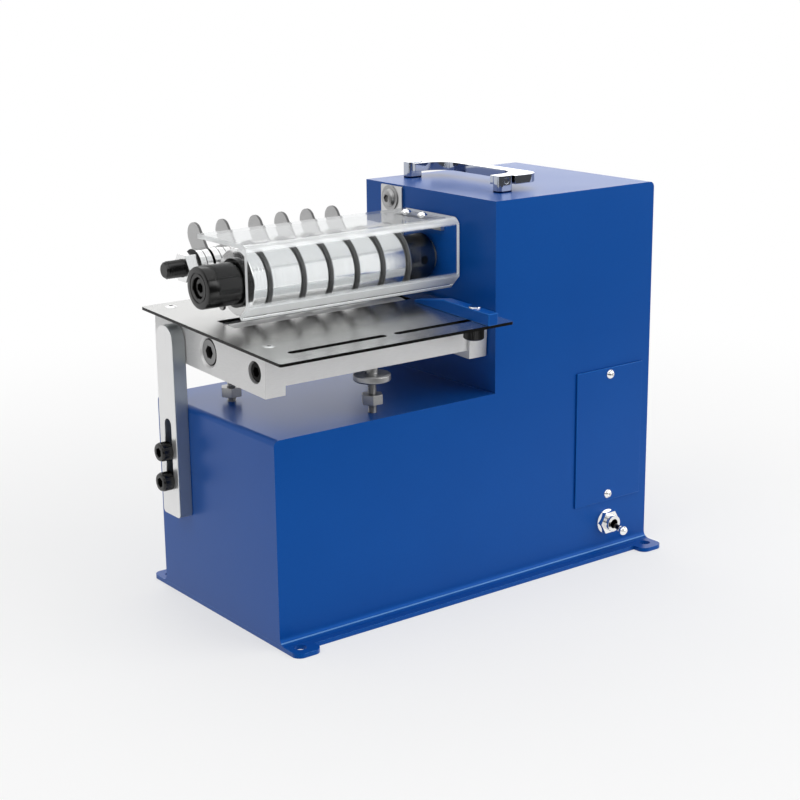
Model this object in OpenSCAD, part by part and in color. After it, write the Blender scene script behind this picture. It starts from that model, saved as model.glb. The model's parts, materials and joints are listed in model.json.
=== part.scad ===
// Motor-driven strap cutting machine.
// Round knives on an overhung shaft cut strips against a roller set in a tilting table.
// Millimetres. X runs along the blade shaft, Y from front to back, Z up.
// The origin is the middle of the four foot holes, on the floor.
// Modules place their pieces from the housing's front left corner: from_corner() moves them to the origin.

/* [Housing] */
// Length of the low deck, from the left face to the drive box
deck_l = 179; // [172:1:195]
// Length of the tall drive box
drive_box_l = 147; // [144:1:170]
// Depth of the housing, front to back
house_d = 145; // [142:1:170]
// Height of the deck above the floor
deck_h = 139; // [128:1:155]
// Gap between the blade gear and the outside of the roof
roof_gap = 5.8; // [4.5:0.1:20]
// Thickness of the housing sheet
sheet_t = 3; // [2:0.5:3]
// Outside bend radius of the folded sheet
bend_r = 4; // [3.5:0.5:6]

/* [Base plate] */
// Thickness of the base plate
base_t = 3; // [2:0.5:6]
// Width of the ledge in front of and behind the housing
ledge = 10; // [6:1:14]
// Reach of the foot ears beyond the housing
ear_out = 20; // [19:1:26]
// Width of the foot ears
ear_w = 20; // [19:1:26]
// Corner radius of the foot ears
ear_r = 6; // [2:0.5:8]
// Diameter of the foot holes
foot_hole_d = 8; // [5:0.5:10]
// Distance of the foot holes from the side faces
foot_in = 9; // [8:0.5:10]
// Distance of the foot holes from the front and back faces
foot_out = 10; // [9:0.5:12]

/* [Access cover and switch] */
// Width of the access cover
cover_w = 64; // [50:1:70]
// Height of the access cover
cover_h = 100; // [80:1:110]
// Thickness of the access cover
cover_t = 1.5; // [1:0.5:3]
// Margin between the cover and the right face
cover_margin = 8; // [6:1:12]
// Height of the cover's lower edge above the floor
cover_z = 40.5; // [38:0.5:50]
// Overlap of the cover on the opening behind it
cover_lap = 8; // [7:0.5:12]
// Height of the toggle switch above the floor
switch_z = 24.3; // [22:0.1:27]
// Diameter of the switch bushing
bushing_d = 12; // [10:0.5:12]
// Width across flats of the switch nut
switch_nut_af = 15.5; // [15:0.5:18]
// Length of the toggle lever from its pivot to the ball
lever_l = 13; // [11:0.5:18]
// Angle of the toggle lever below level when off
lever_drop = 12; // [8:1:13]

/* [Handle] */
// Distance of the handle lugs behind the drive box's left face
handle_x = 32; // [25:1:60]
// Distance of the handle behind the middle of the roof
handle_back = 8.75; // [0:0.25:12]
// Distance between the lugs
handle_span = 100.5; // [80:0.5:102]
// Reach of the bail from its pins to its outer edge
bail_reach = 30.5; // [26:0.5:40]
// Width of the bail's grip
grip_w = 9.5; // [8:0.5:12]
// Thickness of the bail
bail_t = 6; // [5:0.5:7]

/* [Blade shaft] */
// Distance of the blade shaft behind the housing's middle
shaft_back = 3.2; // [0:0.1:6]
// Diameter of the blade shaft
shaft_d = 20; // [16:1:20]
// Diameter of the blades
blade_d = 50; // [46:1:54]
// Thickness of the blades
blade_t = 3; // [2:0.5:3.5]
// Diameter of the spacers between the blades
spacer_d = 44; // [40:1:46]
// Width of the narrow straps: the first strap is wider and takes the room that is left
strap_w = 18.3; // [16:0.1:20]
// Number of narrow straps
strap_count = 4; // [4:1:4]
// Distance of the first blade from the left face
first_blade_x = 34; // [32:1:36]
// Length of the spacer before the first blade
lead_spacer_l = 10.5; // [9:0.5:12]
// Diameter of the black end cap
cap_d = 28; // [24:1:30]
// Length of the black end cap
cap_l = 26; // [22:1:30]
// Diameter of the shaft collar
collar_d = 32; // [28:1:35]
// Length of the shaft collar
collar_l = 25; // [15:1:30]

/* [Table] */
// Height of the table pivot above the deck
pivot_above_deck = 44; // [40:0.5:50]
// Distance from the table pivot forward to the anvil roller
anvil_reach = 36.8; // [35:0.1:40]
// Diameter of the anvil roller
anvil_d = 31.5; // [29:0.5:33]
// Gap between the blades and the anvil roller with the table level
cut_gap = 0.45; // [0.4:0.05:1]
// Tilt of the table at rest, front edge down
table_tilt = 2.5; // [1:0.1:2.8]
// Thickness of the table plate
table_t = 2; // [1.5:0.5:3]
// Reach of the table plate in front of the end plates
plate_lead = 30; // [26:0.5:40]
// Reach of the table plate behind the end plates
plate_tail = 3.2; // [2:0.1:12]
// Overhang of the table plate past the left face
plate_left = 8; // [2:0.5:12]
// Height of the end plates
end_h = 29; // [27:1:32]
// Thickness of the end plates
end_t = 15; // [14:1:16]
// Distance of the end plates behind the housing's front face
frame_inset = 8; // [6:0.5:12]
// Reach of the end plates behind the pivot
end_back = 32; // [25:0.5:34]
// Height of the front and rear rails
rail_h = 23.5; // [21:0.5:26]
// Thickness of the front rail
front_rail_t = 16; // [15:0.5:18]
// Width of the opening over the roller
opening_w = 22; // [20:1:26]
// Width of the fence slots
slot_w = 5.4; // [4.6:0.1:6]
// Distance of the slots from the plate's front edge
slot_in = 18.6; // [16:0.2:22]

/* [Fence] */
// Travel left for the fence on its right
fence_room = 5.85; // [0.5:0.05:40]
// Width of the fence bar
fence_w = 8; // [7:0.5:10]
// Height of the fence bar
fence_h = 8; // [6:0.5:8]
// Length of the full-height part of the fence
fence_l = 48; // [38:1:48]
// Length of the tapered tail
fence_tail_l = 31; // [28:1:36]

/* [Support bar and jacks] */
// Thickness of the support bar
bar_t = 10; // [9:0.5:14]
// Width of the support bar
bar_w = 22; // [18:1:24]
// Length of the bar below its lower screw
bar_below_screw = 25; // [14:1:30]
// Distance of the upper bar screw below the deck
bar_screw_below_deck = 31; // [26:1:38]
// Distance between the bar screws
bar_screw_gap = 21; // [16:1:22]
// Distance of the front jack from the left face
jack_x = 87.4; // [60:0.2:120]
// Distance of the front jack behind the front rail's face
jack_in = 5.5; // [5:0.5:10]
// Diameter of the jack studs
stud_d = 6; // [5:0.5:6]
// Diameter of the thumb wheel
wheel_d = 25; // [20:1:30]
// Thickness of the thumb wheel
wheel_t = 5; // [4:0.5:7]
// Distance of the rear stop stud from the left face
stop_x = 31; // [24:1:60]

/* [Stripper] */
// Gap between the blades and the spacers on the stripper rod
rod_gap = 2.5; // [1:0.1:6]
// Height of the stripper rod above the blade shaft
rod_above = 6; // [3:0.5:8]
// Diameter of the stripper rod
rod_d = 12; // [10:0.5:12]
// Diameter of the spacers on the rod
ring_d = 23.5; // [20:0.5:24]
// Thickness of the stripper fingers
finger_t = 2; // [1.5:0.5:3]
// Radius of a finger's rounded tab
tab_r = 8.4; // [7:0.2:9]
// Reach of the rod's free end past the left face
rod_end = 7.6; // [2:0.2:14]

/* [Guard] */
// Thickness of the clear guard
guard_t = 3; // [2:0.5:4]
// Gap between the blades and the guard's front
guard_front_gap = 10.3; // [6:0.1:14]
// Gap between the blades and the guard's top
guard_top_gap = 2.8; // [2:0.1:5]
// Reach of the guard's top behind the blade shaft
guard_back = 21.3; // [15:0.1:23]
// Depth of the guard's front face below the blade shaft
guard_drop = 9.6; // [7:0.1:10]
// Depth of the guard's slanted lip
guard_lip = 9; // [5:0.5:9]
// Distance of the guard's left end from the left face
guard_x = 8.5; // [5:0.5:14]
// Bend radius of the guard, outside
guard_r = 6; // [5:0.5:9]

/* [Drive] */
// Module of the gear teeth
gear_module = 2; // [1.9:0.05:2]
// Teeth on the blade gear
gear_teeth = 38; // [34:2:38]
// Teeth on the motor pinion
pinion_teeth = 19; // [17:1:19]
// Width of the gear faces
gear_w = 12; // [10:1:13]
// Outside diameter of the shaft bearings
bearing_od = 42; // [38:1:44]
// Width of the shaft bearings
bearing_w = 12; // [10:1:13]
// Side of the square gearbox
gearbox_side = 80; // [70:1:84]
// Length of the gearbox
gearbox_l = 32; // [28:1:34]
// Diameter of the motor
motor_d = 76; // [66:1:80]
// Gap between the motor and the right face
motor_end_gap = 10; // [4:1:30]
// Diameter of the motor's pinion shaft
pinion_shaft_d = 10; // [8:1:12]

/* [Hidden] */

$fn = 64;

// Clearances
fit_gap = 0.03;      // seated parts, on the radius
run_gap = 0.05;      // turning fits, on the radius
move_gap = 0.5;      // between parts that move past each other
slide_gap = 0.08;    // under the sliding fence
past = 1;            // how far a cut runs past a face

// Housing frame
house_l = deck_l + drive_box_l;
wall_x = deck_l;
inner_x = deck_l + sheet_t;
pivot_z = deck_h + pivot_above_deck;
shaft_y = house_d / 2 + shaft_back;
shaft_z = pivot_z + anvil_d / 2 + blade_d / 2 + cut_gap;
gear_r = gear_module * gear_teeth / 2;
pinion_r = gear_module * pinion_teeth / 2;
house_h = shaft_z + gear_r + gear_module + roof_gap;
pivot_y = shaft_y + anvil_reach;

// Blade stack along the shaft
blade_count = strap_count + 2;
tail_spacer_l = 1.6;
collar_right = wall_x - 4;
blades_right = collar_right - collar_l - tail_spacer_l;
wide_strap = blades_right - first_blade_x - blade_count * blade_t - strap_count * strap_w;
function blade_x(i) =
  first_blade_x + (i == 0 ? 0 : blade_t + wide_strap + (i - 1) * (blade_t + strap_w));
stack_left = first_blade_x - lead_spacer_l;
flange_t = 2.5;
flange_d = 32.4;
stack_right = blade_x(blade_count - 1) + blade_t + tail_spacer_l;
cap_right = stack_left - flange_t;
cap_left = cap_right - cap_l;
collar_bore_d = 6;
spigot_l = 9;                    // shaft length inside the end cap
tap_l = 20;                      // depth of the tapped holes
shaft_left = cap_right - spigot_l;
cutting_edge = 1.6;              // width of the blade's ground bevel
cap_screw_d = 8;
cap_screw_head_d = 13;
cap_screw_head_h = 8;
socket_af = 6;

// Drive train along X, from the inside of the wall
block_lip = 2;
block_l = bearing_w + block_lip;
block_d = bearing_od + 8;
gear_x = inner_x + block_l + 3;
drive_plate_x = gear_x + gear_w + 4;
drive_plate_t = bearing_w;
gearbox_x = drive_plate_x + drive_plate_t;
motor_x = gearbox_x + gearbox_l;
motor_l = house_l - sheet_t - motor_end_gap - motor_x;
motor_z = shaft_z - gear_r - pinion_r;
backlash = 0.8;
pressure_angle = 20;
shaft_right = drive_plate_x + drive_plate_t + 2;
drive_plate_clear = 15.5;        // from the inside of the front and the back
drive_plate_w = house_d - 2 * sheet_t - 2 * drive_plate_clear;
drive_plate_top = shaft_z + bearing_od / 2 + 14;
drive_foot_l = 16;
drive_foot_t = 10;
gearbox_boss_d = 38;

// Stripper rod and fingers
rod_behind = sqrt(pow(blade_d / 2 + ring_d / 2 + rod_gap, 2) - pow(rod_above, 2));
rod_y = shaft_y + rod_behind;
rod_z = shaft_z + rod_above;
finger_tip_r = 3;
finger_tip_gap = 2.3;
finger_tip_angle = -43;
finger_boss_r = 9;
tab_dy = 13;
tab_dz = 18.4;
rod_nut_af = 18;
rod_nut_t = 9;
lead_rings_l = 8.9;
bracket_t = 1.5;
bracket_forward = 1.4;
bracket_w = 24.4;
bracket_below_rod = 14;
bracket_below_roof = 1;
bracket_bolt_below_roof = 10;
bracket_bolt_d = 8;
ring_pitch = 4.7;                // visible ring width in the rod's spacer stack
ring_groove = 0.7;
rod_right = inner_x + rod_nut_t + 3;

// Guard section
guard_front_y = shaft_y - blade_d / 2 - guard_front_gap - guard_t;
guard_top_z = shaft_z + blade_d / 2 + guard_top_gap + guard_t;
guard_low_z = shaft_z - guard_drop;
guard_right = wall_x - 0.7;
guard_leg = 18;                  // reach of the guard bracket along the flange
guard_leg_t = 3;
guard_leg_w = 34;
guard_leg_drop = 8;
guard_screw_gap = 18;
guard_screw_in = 13;             // guard screws, from the wall

// Table, in its own frame: X, distance behind the pivot, height above the pivot
table_top = end_h / 2 + table_t;
end_front = pivot_y - frame_inset;
plate_front = end_front + plate_lead;
plate_back = end_back + plate_tail;
left_end_x = move_gap;
right_end_x = wall_x - 0.7 - end_t;
plate_right = wall_x - 3.5;
rail_low = end_h / 2 - rail_h;
front_rail_u = -end_front + 2;
jack_reach = -front_rail_u - jack_in;
rear_rail_u = -anvil_reach + anvil_d / 2 + 4;
rear_rail_t = 14;
roller_end_gap = 1;
roller_left = left_end_x + end_t + roller_end_gap;
opening_left = roller_left - 2.5;
opening_right = blade_x(blade_count - 1) + 12;
roller_right = opening_right - 1.5;
slot_u = -plate_front + slot_in;
slot_1_x = 10;
slot_end = 10;                   // from the last slot to the plate's right edge
slot_gap = 7;                    // between the slots
slot_l = (plate_right - slot_1_x - slot_end - slot_gap) / 2;
slot_2_x = slot_1_x + slot_l + slot_gap;
fence_x = slot_2_x + slot_l - slot_w / 2 - fence_room;
frame_screw_u = front_rail_u + 10;
frame_screw_d = 8;
frame_head_d = 13;
frame_head_h = 8;
counterbore_d = 14.5;
counterbore_h = 9;
table_screw_in = 8;              // from the left and right faces of the table frame
table_screw_d = 5;
table_screw_head_d = 9;
table_screw_head_h = 2;
table_screw_crown = 0.7;
table_screw_l = 3;               // shank below the table plate
plate_corner_r = 1.5;
axle_d = 12;
axle_head_d = 21;
axle_head_h = 4.5;
bush_d = 18;
bush_l = 16;
pivot_pin_d = 10;
pivot_pin_in = 11;               // length of a pivot pin inside its end plate
pivot_flange_d = 20;
pivot_flange_t = 4;

// Fence
fence_low = table_top + slide_gap;
fence_screw_d = 4;
fence_head_d = 8;
thumb_nut_d = 14;
thumb_nut_t = 11;
thumb_nut_edge = 0.8;
fence_tail_h = 1.8;

// Support bar and jacks
bar_slot_w = 8.6;
bar_y = pivot_y + 2.4;           // middle of the bar
bar_slot_up = 22;                // slot beyond the upper screw
bar_slot_down = 5.5;             // slot beyond the lower screw
bar_screw_d = 8;
bar_head_d = 13;
bar_head_h = 8;
bar_screw_z = [deck_h - bar_screw_below_deck, deck_h - bar_screw_below_deck - bar_screw_gap];
bar_bottom_z = bar_screw_z[1] - bar_below_screw;
bar_corner_r = 3;
jack_hole_d = stud_d + 2.6;
jack_hole_up = 16;
stud_under_deck = 9;
jack_y = pivot_y - jack_reach * cos(table_tilt) - rail_low * sin(table_tilt);
rail_z_at_jack = pivot_z - jack_reach * sin(table_tilt) + rail_low * cos(table_tilt);
wheel_hub_d = 8;
wheel_hub_h = 3.8;
wheel_top = rail_z_at_jack - 0.6;
wheel_low = wheel_top - wheel_hub_h - wheel_t;
wheel_edge = 0.9;
stud_top_in_rail = 11;
stop_y = pivot_y + rear_rail_u + 3.5;
stop_top = pivot_z + (rear_rail_u + 3.5) * sin(table_tilt) + rail_low * cos(table_tilt) - 0.6;
jack_nut_af = 13;
jack_nut_t = 6.5;
jack_nut_above_deck = 6;
stop_nut_above_deck = 3.5;
deck_nut_t = 5;

// Handle
lug_w = 12.5;
lug_d = 9;
lug_h = 11.5;
lug_corner_r = 3;
lug_x = wall_x + handle_x;
bail_pin_d = 4;
bail_pin_l = lug_d - 0.6;
bail_pin_z = house_h + 8;
bail_tongue_t = 3.6;             // bail thickness beside each lug
bail_tongue_end = 4;
bail_corner_r = 10;
bail_inner_r = 16;
bail_gap = 0.4;
bail_shoulder = norm([lug_w / 2, lug_h + house_h - bail_pin_z]) + bail_gap; // clears the lug's edge as the bail folds
handle_screw_d = 4;

// Access cover, switch and cable gland
cover_x = house_l - cover_margin - cover_w;
cover_mid_x = cover_x + cover_w / 2;
cover_screw_in = 5;
button_d = 4;
button_head_d = 7.3;
button_head_h = 2.3;
button_l = 9;
switch_x = cover_mid_x;
switch_washer_d = 18;
switch_washer_t = 1;
switch_nut_t = 4;
bushing_out = 9;                 // bushing length outside the front face
lever_pivot_out = 5;             // lever pivot, outside the front face
lever_pivot_d = 5;
lever_bore_d = 6.7;
lever_pin_d = 1.2;
lever_pin_l = 5.9;
lever_neck_d = 3.2;
lever_ball_d = 7;
switch_box = [22, 24, 26];
gland_x = cover_mid_x;
gland_z = 40;
gland_thread_d = 16;
gland_hex_af = 20;
gland_hex_t = 5;
gland_dome_d = 17;
gland_dome_l = 13;
gland_bore_d = 7;

// Colours
blue = [0.07, 0.27, 0.58];
steel = [0.72, 0.73, 0.74];
aluminium = [0.83, 0.84, 0.85];
dark_steel = [0.34, 0.35, 0.36];
black = [0.06, 0.06, 0.065];
chrome = [0.85, 0.86, 0.88];
clear = [0.85, 0.9, 0.93, 0.3];
grey = [0.45, 0.46, 0.48];

// Frames

module from_corner() {
  translate([-house_l / 2, -house_d / 2, 0]) children();
}

module on_shaft() {
  translate([0, shaft_y, shaft_z]) children();
}

module on_rod() {
  translate([0, rod_y, rod_z]) children();
}

module on_table() {
  translate([0, pivot_y, pivot_z]) rotate([table_tilt, 0, 0]) children();
}

// Shared shapes

// Solid bar of round section along X
module bar_x(from, to, d) {
  translate([from, 0, 0]) rotate([0, 90, 0]) cylinder(d = d, h = to - from);
}

// Round tube along X
module tube_x(from, to, d, bore) {
  difference() {
    bar_x(from, to, d);
    bar_x(from - past, to + past, bore);
  }
}

// Outline in Y and Z, drawn out along X
module extrude_x(from, to) {
  translate([from, 0, 0]) rotate([90, 0, 90]) linear_extrude(to - from) children();
}

// Outline in X and Z, drawn out along Y
module extrude_y(from, to) {
  translate([0, to, 0]) rotate([90, 0, 0]) linear_extrude(to - from) children();
}

// Round section turned about X, from points of length and radius
module turned_x(points) {
  rotate([0, 90, 0]) rotate_extrude() polygon([for (p = points) [p[1], p[0]]]);
}

// Hexagon of a width across flats
module hexagon(af) {
  circle(r = af / sqrt(3), $fn = 6);
}

// Rectangle from the origin with round corners
module round_rect(w, h, r) {
  translate([r, 0]) square([w - 2 * r, h]);
  translate([0, r]) square([w, h - 2 * r]);
  for (x = [r, w - r], y = [r, h - r]) translate([x, y]) circle(r);
}

// Slot along X, from the middle of its left end
module slot_outline(length, w) {
  translate([w / 2, -w / 2]) square([length - w, w]);
  for (x = [w / 2, length - w / 2]) translate([x, 0]) circle(d = w);
}

// Band between two circles, a hair inside their outer tangents
module link_band(a, ra, b, rb) {
  inside = 0.1;
  along = atan2(b[1] - a[1], b[0] - a[0]);
  side = acos((ra - rb) / norm(b - a));
  polygon([
    for (s = [-1, 1]) a + polar(ra - inside, along + s * side),
    for (s = [1, -1]) b + polar(rb - inside, along + s * side)
  ]);
}

// Cap screw along X: head to the left of seat, shank to the right
module cap_screw_x(seat, d, head_d, head_h, length) {
  difference() {
    union() {
      turned_x([
        [seat - head_h, 0], [seat - head_h, head_d / 2 - 0.8], [seat - head_h + 0.8, head_d / 2],
        [seat, head_d / 2], [seat, 0]
      ]);
      bar_x(seat, seat + length, d);
    }
    extrude_x(seat - head_h - past, seat - head_h / 2) hexagon(socket_af);
  }
}

// Low dome-headed screw standing on Z = 0, shank downwards
module button_screw() {
  dome_r = (pow(button_head_d / 2, 2) + pow(button_head_h, 2)) / (2 * button_head_h);
  difference() {
    union() {
      rotate_extrude() intersection() {
        translate([0, button_head_h - dome_r]) circle(dome_r);
        square([button_head_d / 2, button_head_h]);
      }
      translate([0, 0, -button_l]) cylinder(d = button_d, h = button_l);
    }
    translate([0, 0, button_head_h / 2]) linear_extrude(button_head_h) hexagon(2.5);
  }
}

// Nut standing on Z = 0
module nut(af, t, bore) {
  linear_extrude(t) difference() {
    hexagon(af);
    circle(d = bore);
  }
}

// Involute gear outline with one tooth centred on X
function involute_angle(roll) = roll - atan(roll * PI / 180);
function roll_at(r, base) = sqrt(max(0, pow(r / base, 2) - 1)) * 180 / PI;
function polar(r, a) = [r * cos(a), r * sin(a)];

module gear_outline(teeth) {
  pitch = gear_module * teeth / 2;
  base = pitch * cos(pressure_angle);
  tip = pitch + gear_module;
  root = pitch - 1.25 * gear_module;
  steps = 4;
  start = roll_at(root, base);
  finish = roll_at(tip, base);
  half = 90 / teeth - backlash / 4 / pitch * 180 / PI + involute_angle(roll_at(pitch, base));
  rolls = [for (i = [0:steps]) start + (finish - start) * i / steps];
  flank = [for (t = rolls) [base * sqrt(1 + pow(t * PI / 180, 2)), half - involute_angle(t)]];
  side = concat([[root, flank[0][1]]], flank);
  last = len(side) - 1;
  polygon([
    for (k = [0:teeth - 1], i = [0:2 * last + 1])
      let(p = i <= last ? [side[i][0], -side[i][1]] : side[2 * last + 1 - i])
      polar(p[0], p[1] + k * 360 / teeth)
  ]);
}

// Housing

module house_outline(inset) {
  low = inset > 0 ? base_t - past : base_t;
  round = bend_r - inset;
  difference() {
    union() {
      translate([inset, low]) square([house_l - 2 * inset, deck_h - inset - low]);
      translate([wall_x + inset, low]) square([drive_box_l - 2 * inset, house_h - inset - low]);
    }
    translate([inset + round, deck_h - inset - round]) rotate(90) corner_waste(round);
    translate([house_l - inset - round, house_h - inset - round]) corner_waste(round);
  }
}

// What a round corner takes off a square one
module corner_waste(r) {
  difference() {
    square(r + past);
    circle(r);
  }
}

module housing() {
  color(blue) from_corner() difference() {
    extrude_y(0, house_d) house_outline(0);
    extrude_y(sheet_t, house_d - sheet_t) house_outline(sheet_t);
    // Service opening, cover screws and switch in the front
    extrude_y(-past, sheet_t + past) {
      translate([cover_x + cover_lap, cover_z + cover_lap])
        square([cover_w - 2 * cover_lap, cover_h - 2 * cover_lap]);
      for (z = cover_screw_z()) translate([cover_mid_x, z]) circle(d = button_d + 2 * fit_gap);
      translate([switch_x, switch_z]) circle(d = bushing_d + 2 * fit_gap);
    }
    // Blade shaft, stripper rod, bracket bolt, pivot pin and guard bracket in the wall of the drive box
    extrude_x(wall_x - past, inner_x + past) {
      translate([shaft_y, shaft_z]) circle(d = shaft_d + 5);
      translate([rod_y, rod_z]) circle(d = rod_d + 2 * fit_gap);
      translate([rod_y, house_h - bracket_bolt_below_roof]) circle(d = bracket_bolt_d + 2 * fit_gap);
      translate([pivot_y, pivot_z]) circle(d = pivot_pin_d + 2 * fit_gap);
    }
    // Support bar screws in the left face
    extrude_x(-past, sheet_t + past)
      for (z = bar_screw_z) translate([bar_y, z]) circle(d = bar_screw_d + 2 * fit_gap);
    // Jack studs in the deck
    for (p = stud_places())
      translate([p[0], p[1], deck_h - sheet_t - past]) cylinder(d = stud_d + 2 * fit_gap, h = sheet_t + 2 * past);
    // Cable gland in the back
    extrude_y(house_d - sheet_t - past, house_d + past)
      translate([gland_x, gland_z]) circle(d = gland_thread_d + 2 * fit_gap);
  }
}

function cover_screw_z() = [cover_z + cover_screw_in, cover_z + cover_h - cover_screw_in];
function stud_places() = [[jack_x, jack_y], [stop_x, stop_y]];

module base_plate() {
  color(blue) from_corner() linear_extrude(base_t) difference() {
    union() {
      translate([0, -ledge]) square([house_l, house_d + 2 * ledge]);
      for (x = [0, house_l - ear_w], y = [-ear_out, house_d - ear_r])
        translate([x, y]) round_rect(ear_w, ear_out + ear_r, ear_r);
    }
    for (x = [foot_in, house_l - foot_in], y = [-foot_out, house_d + foot_out])
      translate([x, y]) circle(d = foot_hole_d);
  }
}

module access_cover() {
  color(blue) from_corner() extrude_y(-cover_t, 0) difference() {
    translate([cover_x, cover_z]) square([cover_w, cover_h]);
    for (z = cover_screw_z()) translate([cover_mid_x, z]) circle(d = button_d + 2 * fit_gap);
  }
}

// Cover screws in front and guard screws on the guard's top
module button_screws() {
  color(chrome) from_corner() {
    for (z = cover_screw_z()) translate([cover_mid_x, -cover_t, z]) rotate([90, 0, 0]) button_screw();
    for (y = guard_screw_y()) translate([wall_x - guard_screw_in, y, guard_top_z]) button_screw();
  }
}

function guard_screw_y() = [for (s = [-1, 1]) shaft_y - 4 + s * guard_screw_gap / 2];

module switch_body() {
  color(grey) from_corner() translate([switch_x, 0, switch_z]) difference() {
    union() {
      translate([-switch_box[0] / 2, sheet_t, -switch_box[2] / 2 + 4]) cube(switch_box - [0, 0, 6]);
      rotate([90, 0, 0]) translate([0, 0, -sheet_t - past]) cylinder(d = bushing_d, h = bushing_out + sheet_t + past);
    }
    rotate([90, 0, 0]) translate([0, 0, past])
      cylinder(d = lever_bore_d, h = bushing_out + past);
  }
}

module switch_nut() {
  color(chrome) from_corner() translate([switch_x, 0, switch_z]) rotate([90, 0, 0]) {
    difference() {
      cylinder(d = switch_washer_d, h = switch_washer_t);
      translate([0, 0, -past]) cylinder(d = bushing_d + 2 * fit_gap, h = switch_washer_t + 2 * past);
    }
    translate([0, 0, switch_washer_t]) nut(switch_nut_af, switch_nut_t, bushing_d + 2 * fit_gap);
  }
}

module toggle_lever() {
  color(chrome) from_corner() translate([switch_x, -lever_pivot_out, switch_z]) rotate([90 + lever_drop, 0, 0]) {
    sphere(d = lever_pivot_d);
    rotate([0, 90, 0]) cylinder(d = lever_pin_d, h = lever_pin_l, center = true);
    cylinder(d1 = lever_neck_d, d2 = lever_neck_d + 1, h = lever_l);
    translate([0, 0, lever_l]) sphere(d = lever_ball_d);
  }
}

// Handle

handle_front = house_d / 2 + handle_back - handle_span / 2;
function lug_y() = [handle_front, handle_front + handle_span];

module handle_lugs() {
  color(chrome) from_corner() for (y = lug_y()) difference() {
    translate([lug_x - lug_w / 2, y - lug_d / 2, house_h]) linear_extrude(lug_h) round_rect(lug_w, lug_d, lug_corner_r);
    translate([lug_x, y + lug_d, bail_pin_z]) rotate([90, 0, 0])
      cylinder(d = bail_pin_d + 2 * run_gap, h = 2 * lug_d);
  }
}

// Bow that lies flat beside the lugs, with a tongue and a pin inside each lug
module handle_bail() {
  low_y = handle_front - lug_d / 2;
  high_y = handle_front + handle_span + lug_d / 2;
  low_face = low_y + lug_d + bail_gap;
  high_face = high_y - lug_d - bail_gap;
  reach_in = 2 * bail_inner_r;
  color(chrome) from_corner() translate([lug_x, 0, bail_pin_z]) {
    translate([0, 0, -bail_t / 2]) linear_extrude(bail_t) difference() {
      translate([-reach_in, low_y]) round_rect(bail_reach + reach_in, high_y - low_y, bail_corner_r);
      translate([-2 * reach_in, low_face + bail_tongue_t]) round_rect(
        2 * reach_in + bail_reach - grip_w, high_face - low_face - 2 * bail_tongue_t, bail_inner_r);
      translate([-2 * reach_in, low_y - past]) square([2 * reach_in - bail_tongue_end, high_y - low_y + 2 * past]);
      for (y = [low_face - bail_reach, high_face]) translate([-reach_in, y])
        square([reach_in + bail_shoulder, bail_reach]);
    }
    for (y = [low_face + past, high_face + bail_gap + bail_pin_l]) translate([0, y, 0]) rotate([90, 0, 0])
      cylinder(d = bail_pin_d, h = bail_gap + bail_pin_l + past);
  }
}

// Blade shaft

module blade_shaft() {
  color(steel) from_corner() on_shaft() difference() {
    bar_x(shaft_left, shaft_right, shaft_d);
    bar_x(shaft_left - past, shaft_left + tap_l, cap_screw_d + 2 * fit_gap);
  }
}

module blade(i) {
  edge = blade_d / 2;
  land = 0.4;
  bore = shaft_d / 2 + fit_gap;
  color(dark_steel) from_corner() on_shaft() translate([blade_x(i), 0, 0]) turned_x([
    [0, bore], [0, edge - cutting_edge], [blade_t / 2 - land / 2, edge],
    [blade_t / 2 + land / 2, edge], [blade_t, edge - cutting_edge], [blade_t, bore]
  ]);
}

module blade_spacers() {
  color(aluminium) from_corner() on_shaft() {
    tube_x(stack_left, first_blade_x, spacer_d, shaft_d + 2 * fit_gap);
    for (i = [0:blade_count - 2])
      tube_x(blade_x(i) + blade_t, blade_x(i + 1), spacer_d, shaft_d + 2 * fit_gap);
    tube_x(stack_right - tail_spacer_l, stack_right, spacer_d, shaft_d + 2 * fit_gap);
  }
}

module clamp_flange() {
  color(black) from_corner() on_shaft() tube_x(cap_right, stack_left, flange_d, shaft_d + 2 * fit_gap);
}

module end_cap() {
  chamfer = 0.8;
  counterbore_r = cap_screw_head_d / 2 + 0.4;
  seat = cap_left + cap_screw_head_h + 1.5;
  color(black) from_corner() on_shaft() turned_x([
    [cap_left, counterbore_r], [cap_left, cap_d / 2 - chamfer], [cap_left + chamfer, cap_d / 2],
    [cap_right, cap_d / 2], [cap_right, shaft_d / 2 + fit_gap], [shaft_left, shaft_d / 2 + fit_gap],
    [shaft_left, cap_screw_d / 2 + fit_gap], [seat, cap_screw_d / 2 + fit_gap], [seat, counterbore_r]
  ]);
}

module end_cap_screw() {
  seat = cap_left + cap_screw_head_h + 1.5;
  color(black) from_corner() on_shaft()
    cap_screw_x(seat, cap_screw_d, cap_screw_head_d, cap_screw_head_h, shaft_left - seat + 16);
}

module shaft_collar() {
  color(steel) from_corner() on_shaft() difference() {
    tube_x(stack_right, collar_right, collar_d, shaft_d + 2 * fit_gap);
    translate([(stack_right + collar_right) / 2 + 3, 0, 0]) rotate([90, 0, 0])
      cylinder(d = collar_bore_d, h = collar_d);
  }
}

// Drive

module bearing_block() {
  color(grey) from_corner() on_shaft() difference() {
    bar_x(inner_x, inner_x + block_l, block_d);
    bar_x(inner_x + block_lip, inner_x + block_l + past, bearing_od + 2 * fit_gap);
    bar_x(inner_x - past, inner_x + block_l, shaft_d + 5);
  }
}

module shaft_bearings() {
  color(steel) from_corner() on_shaft() for (x = [inner_x + block_lip, drive_plate_x])
    tube_x(x, x + bearing_w, bearing_od, shaft_d + 2 * run_gap);
}

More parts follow.
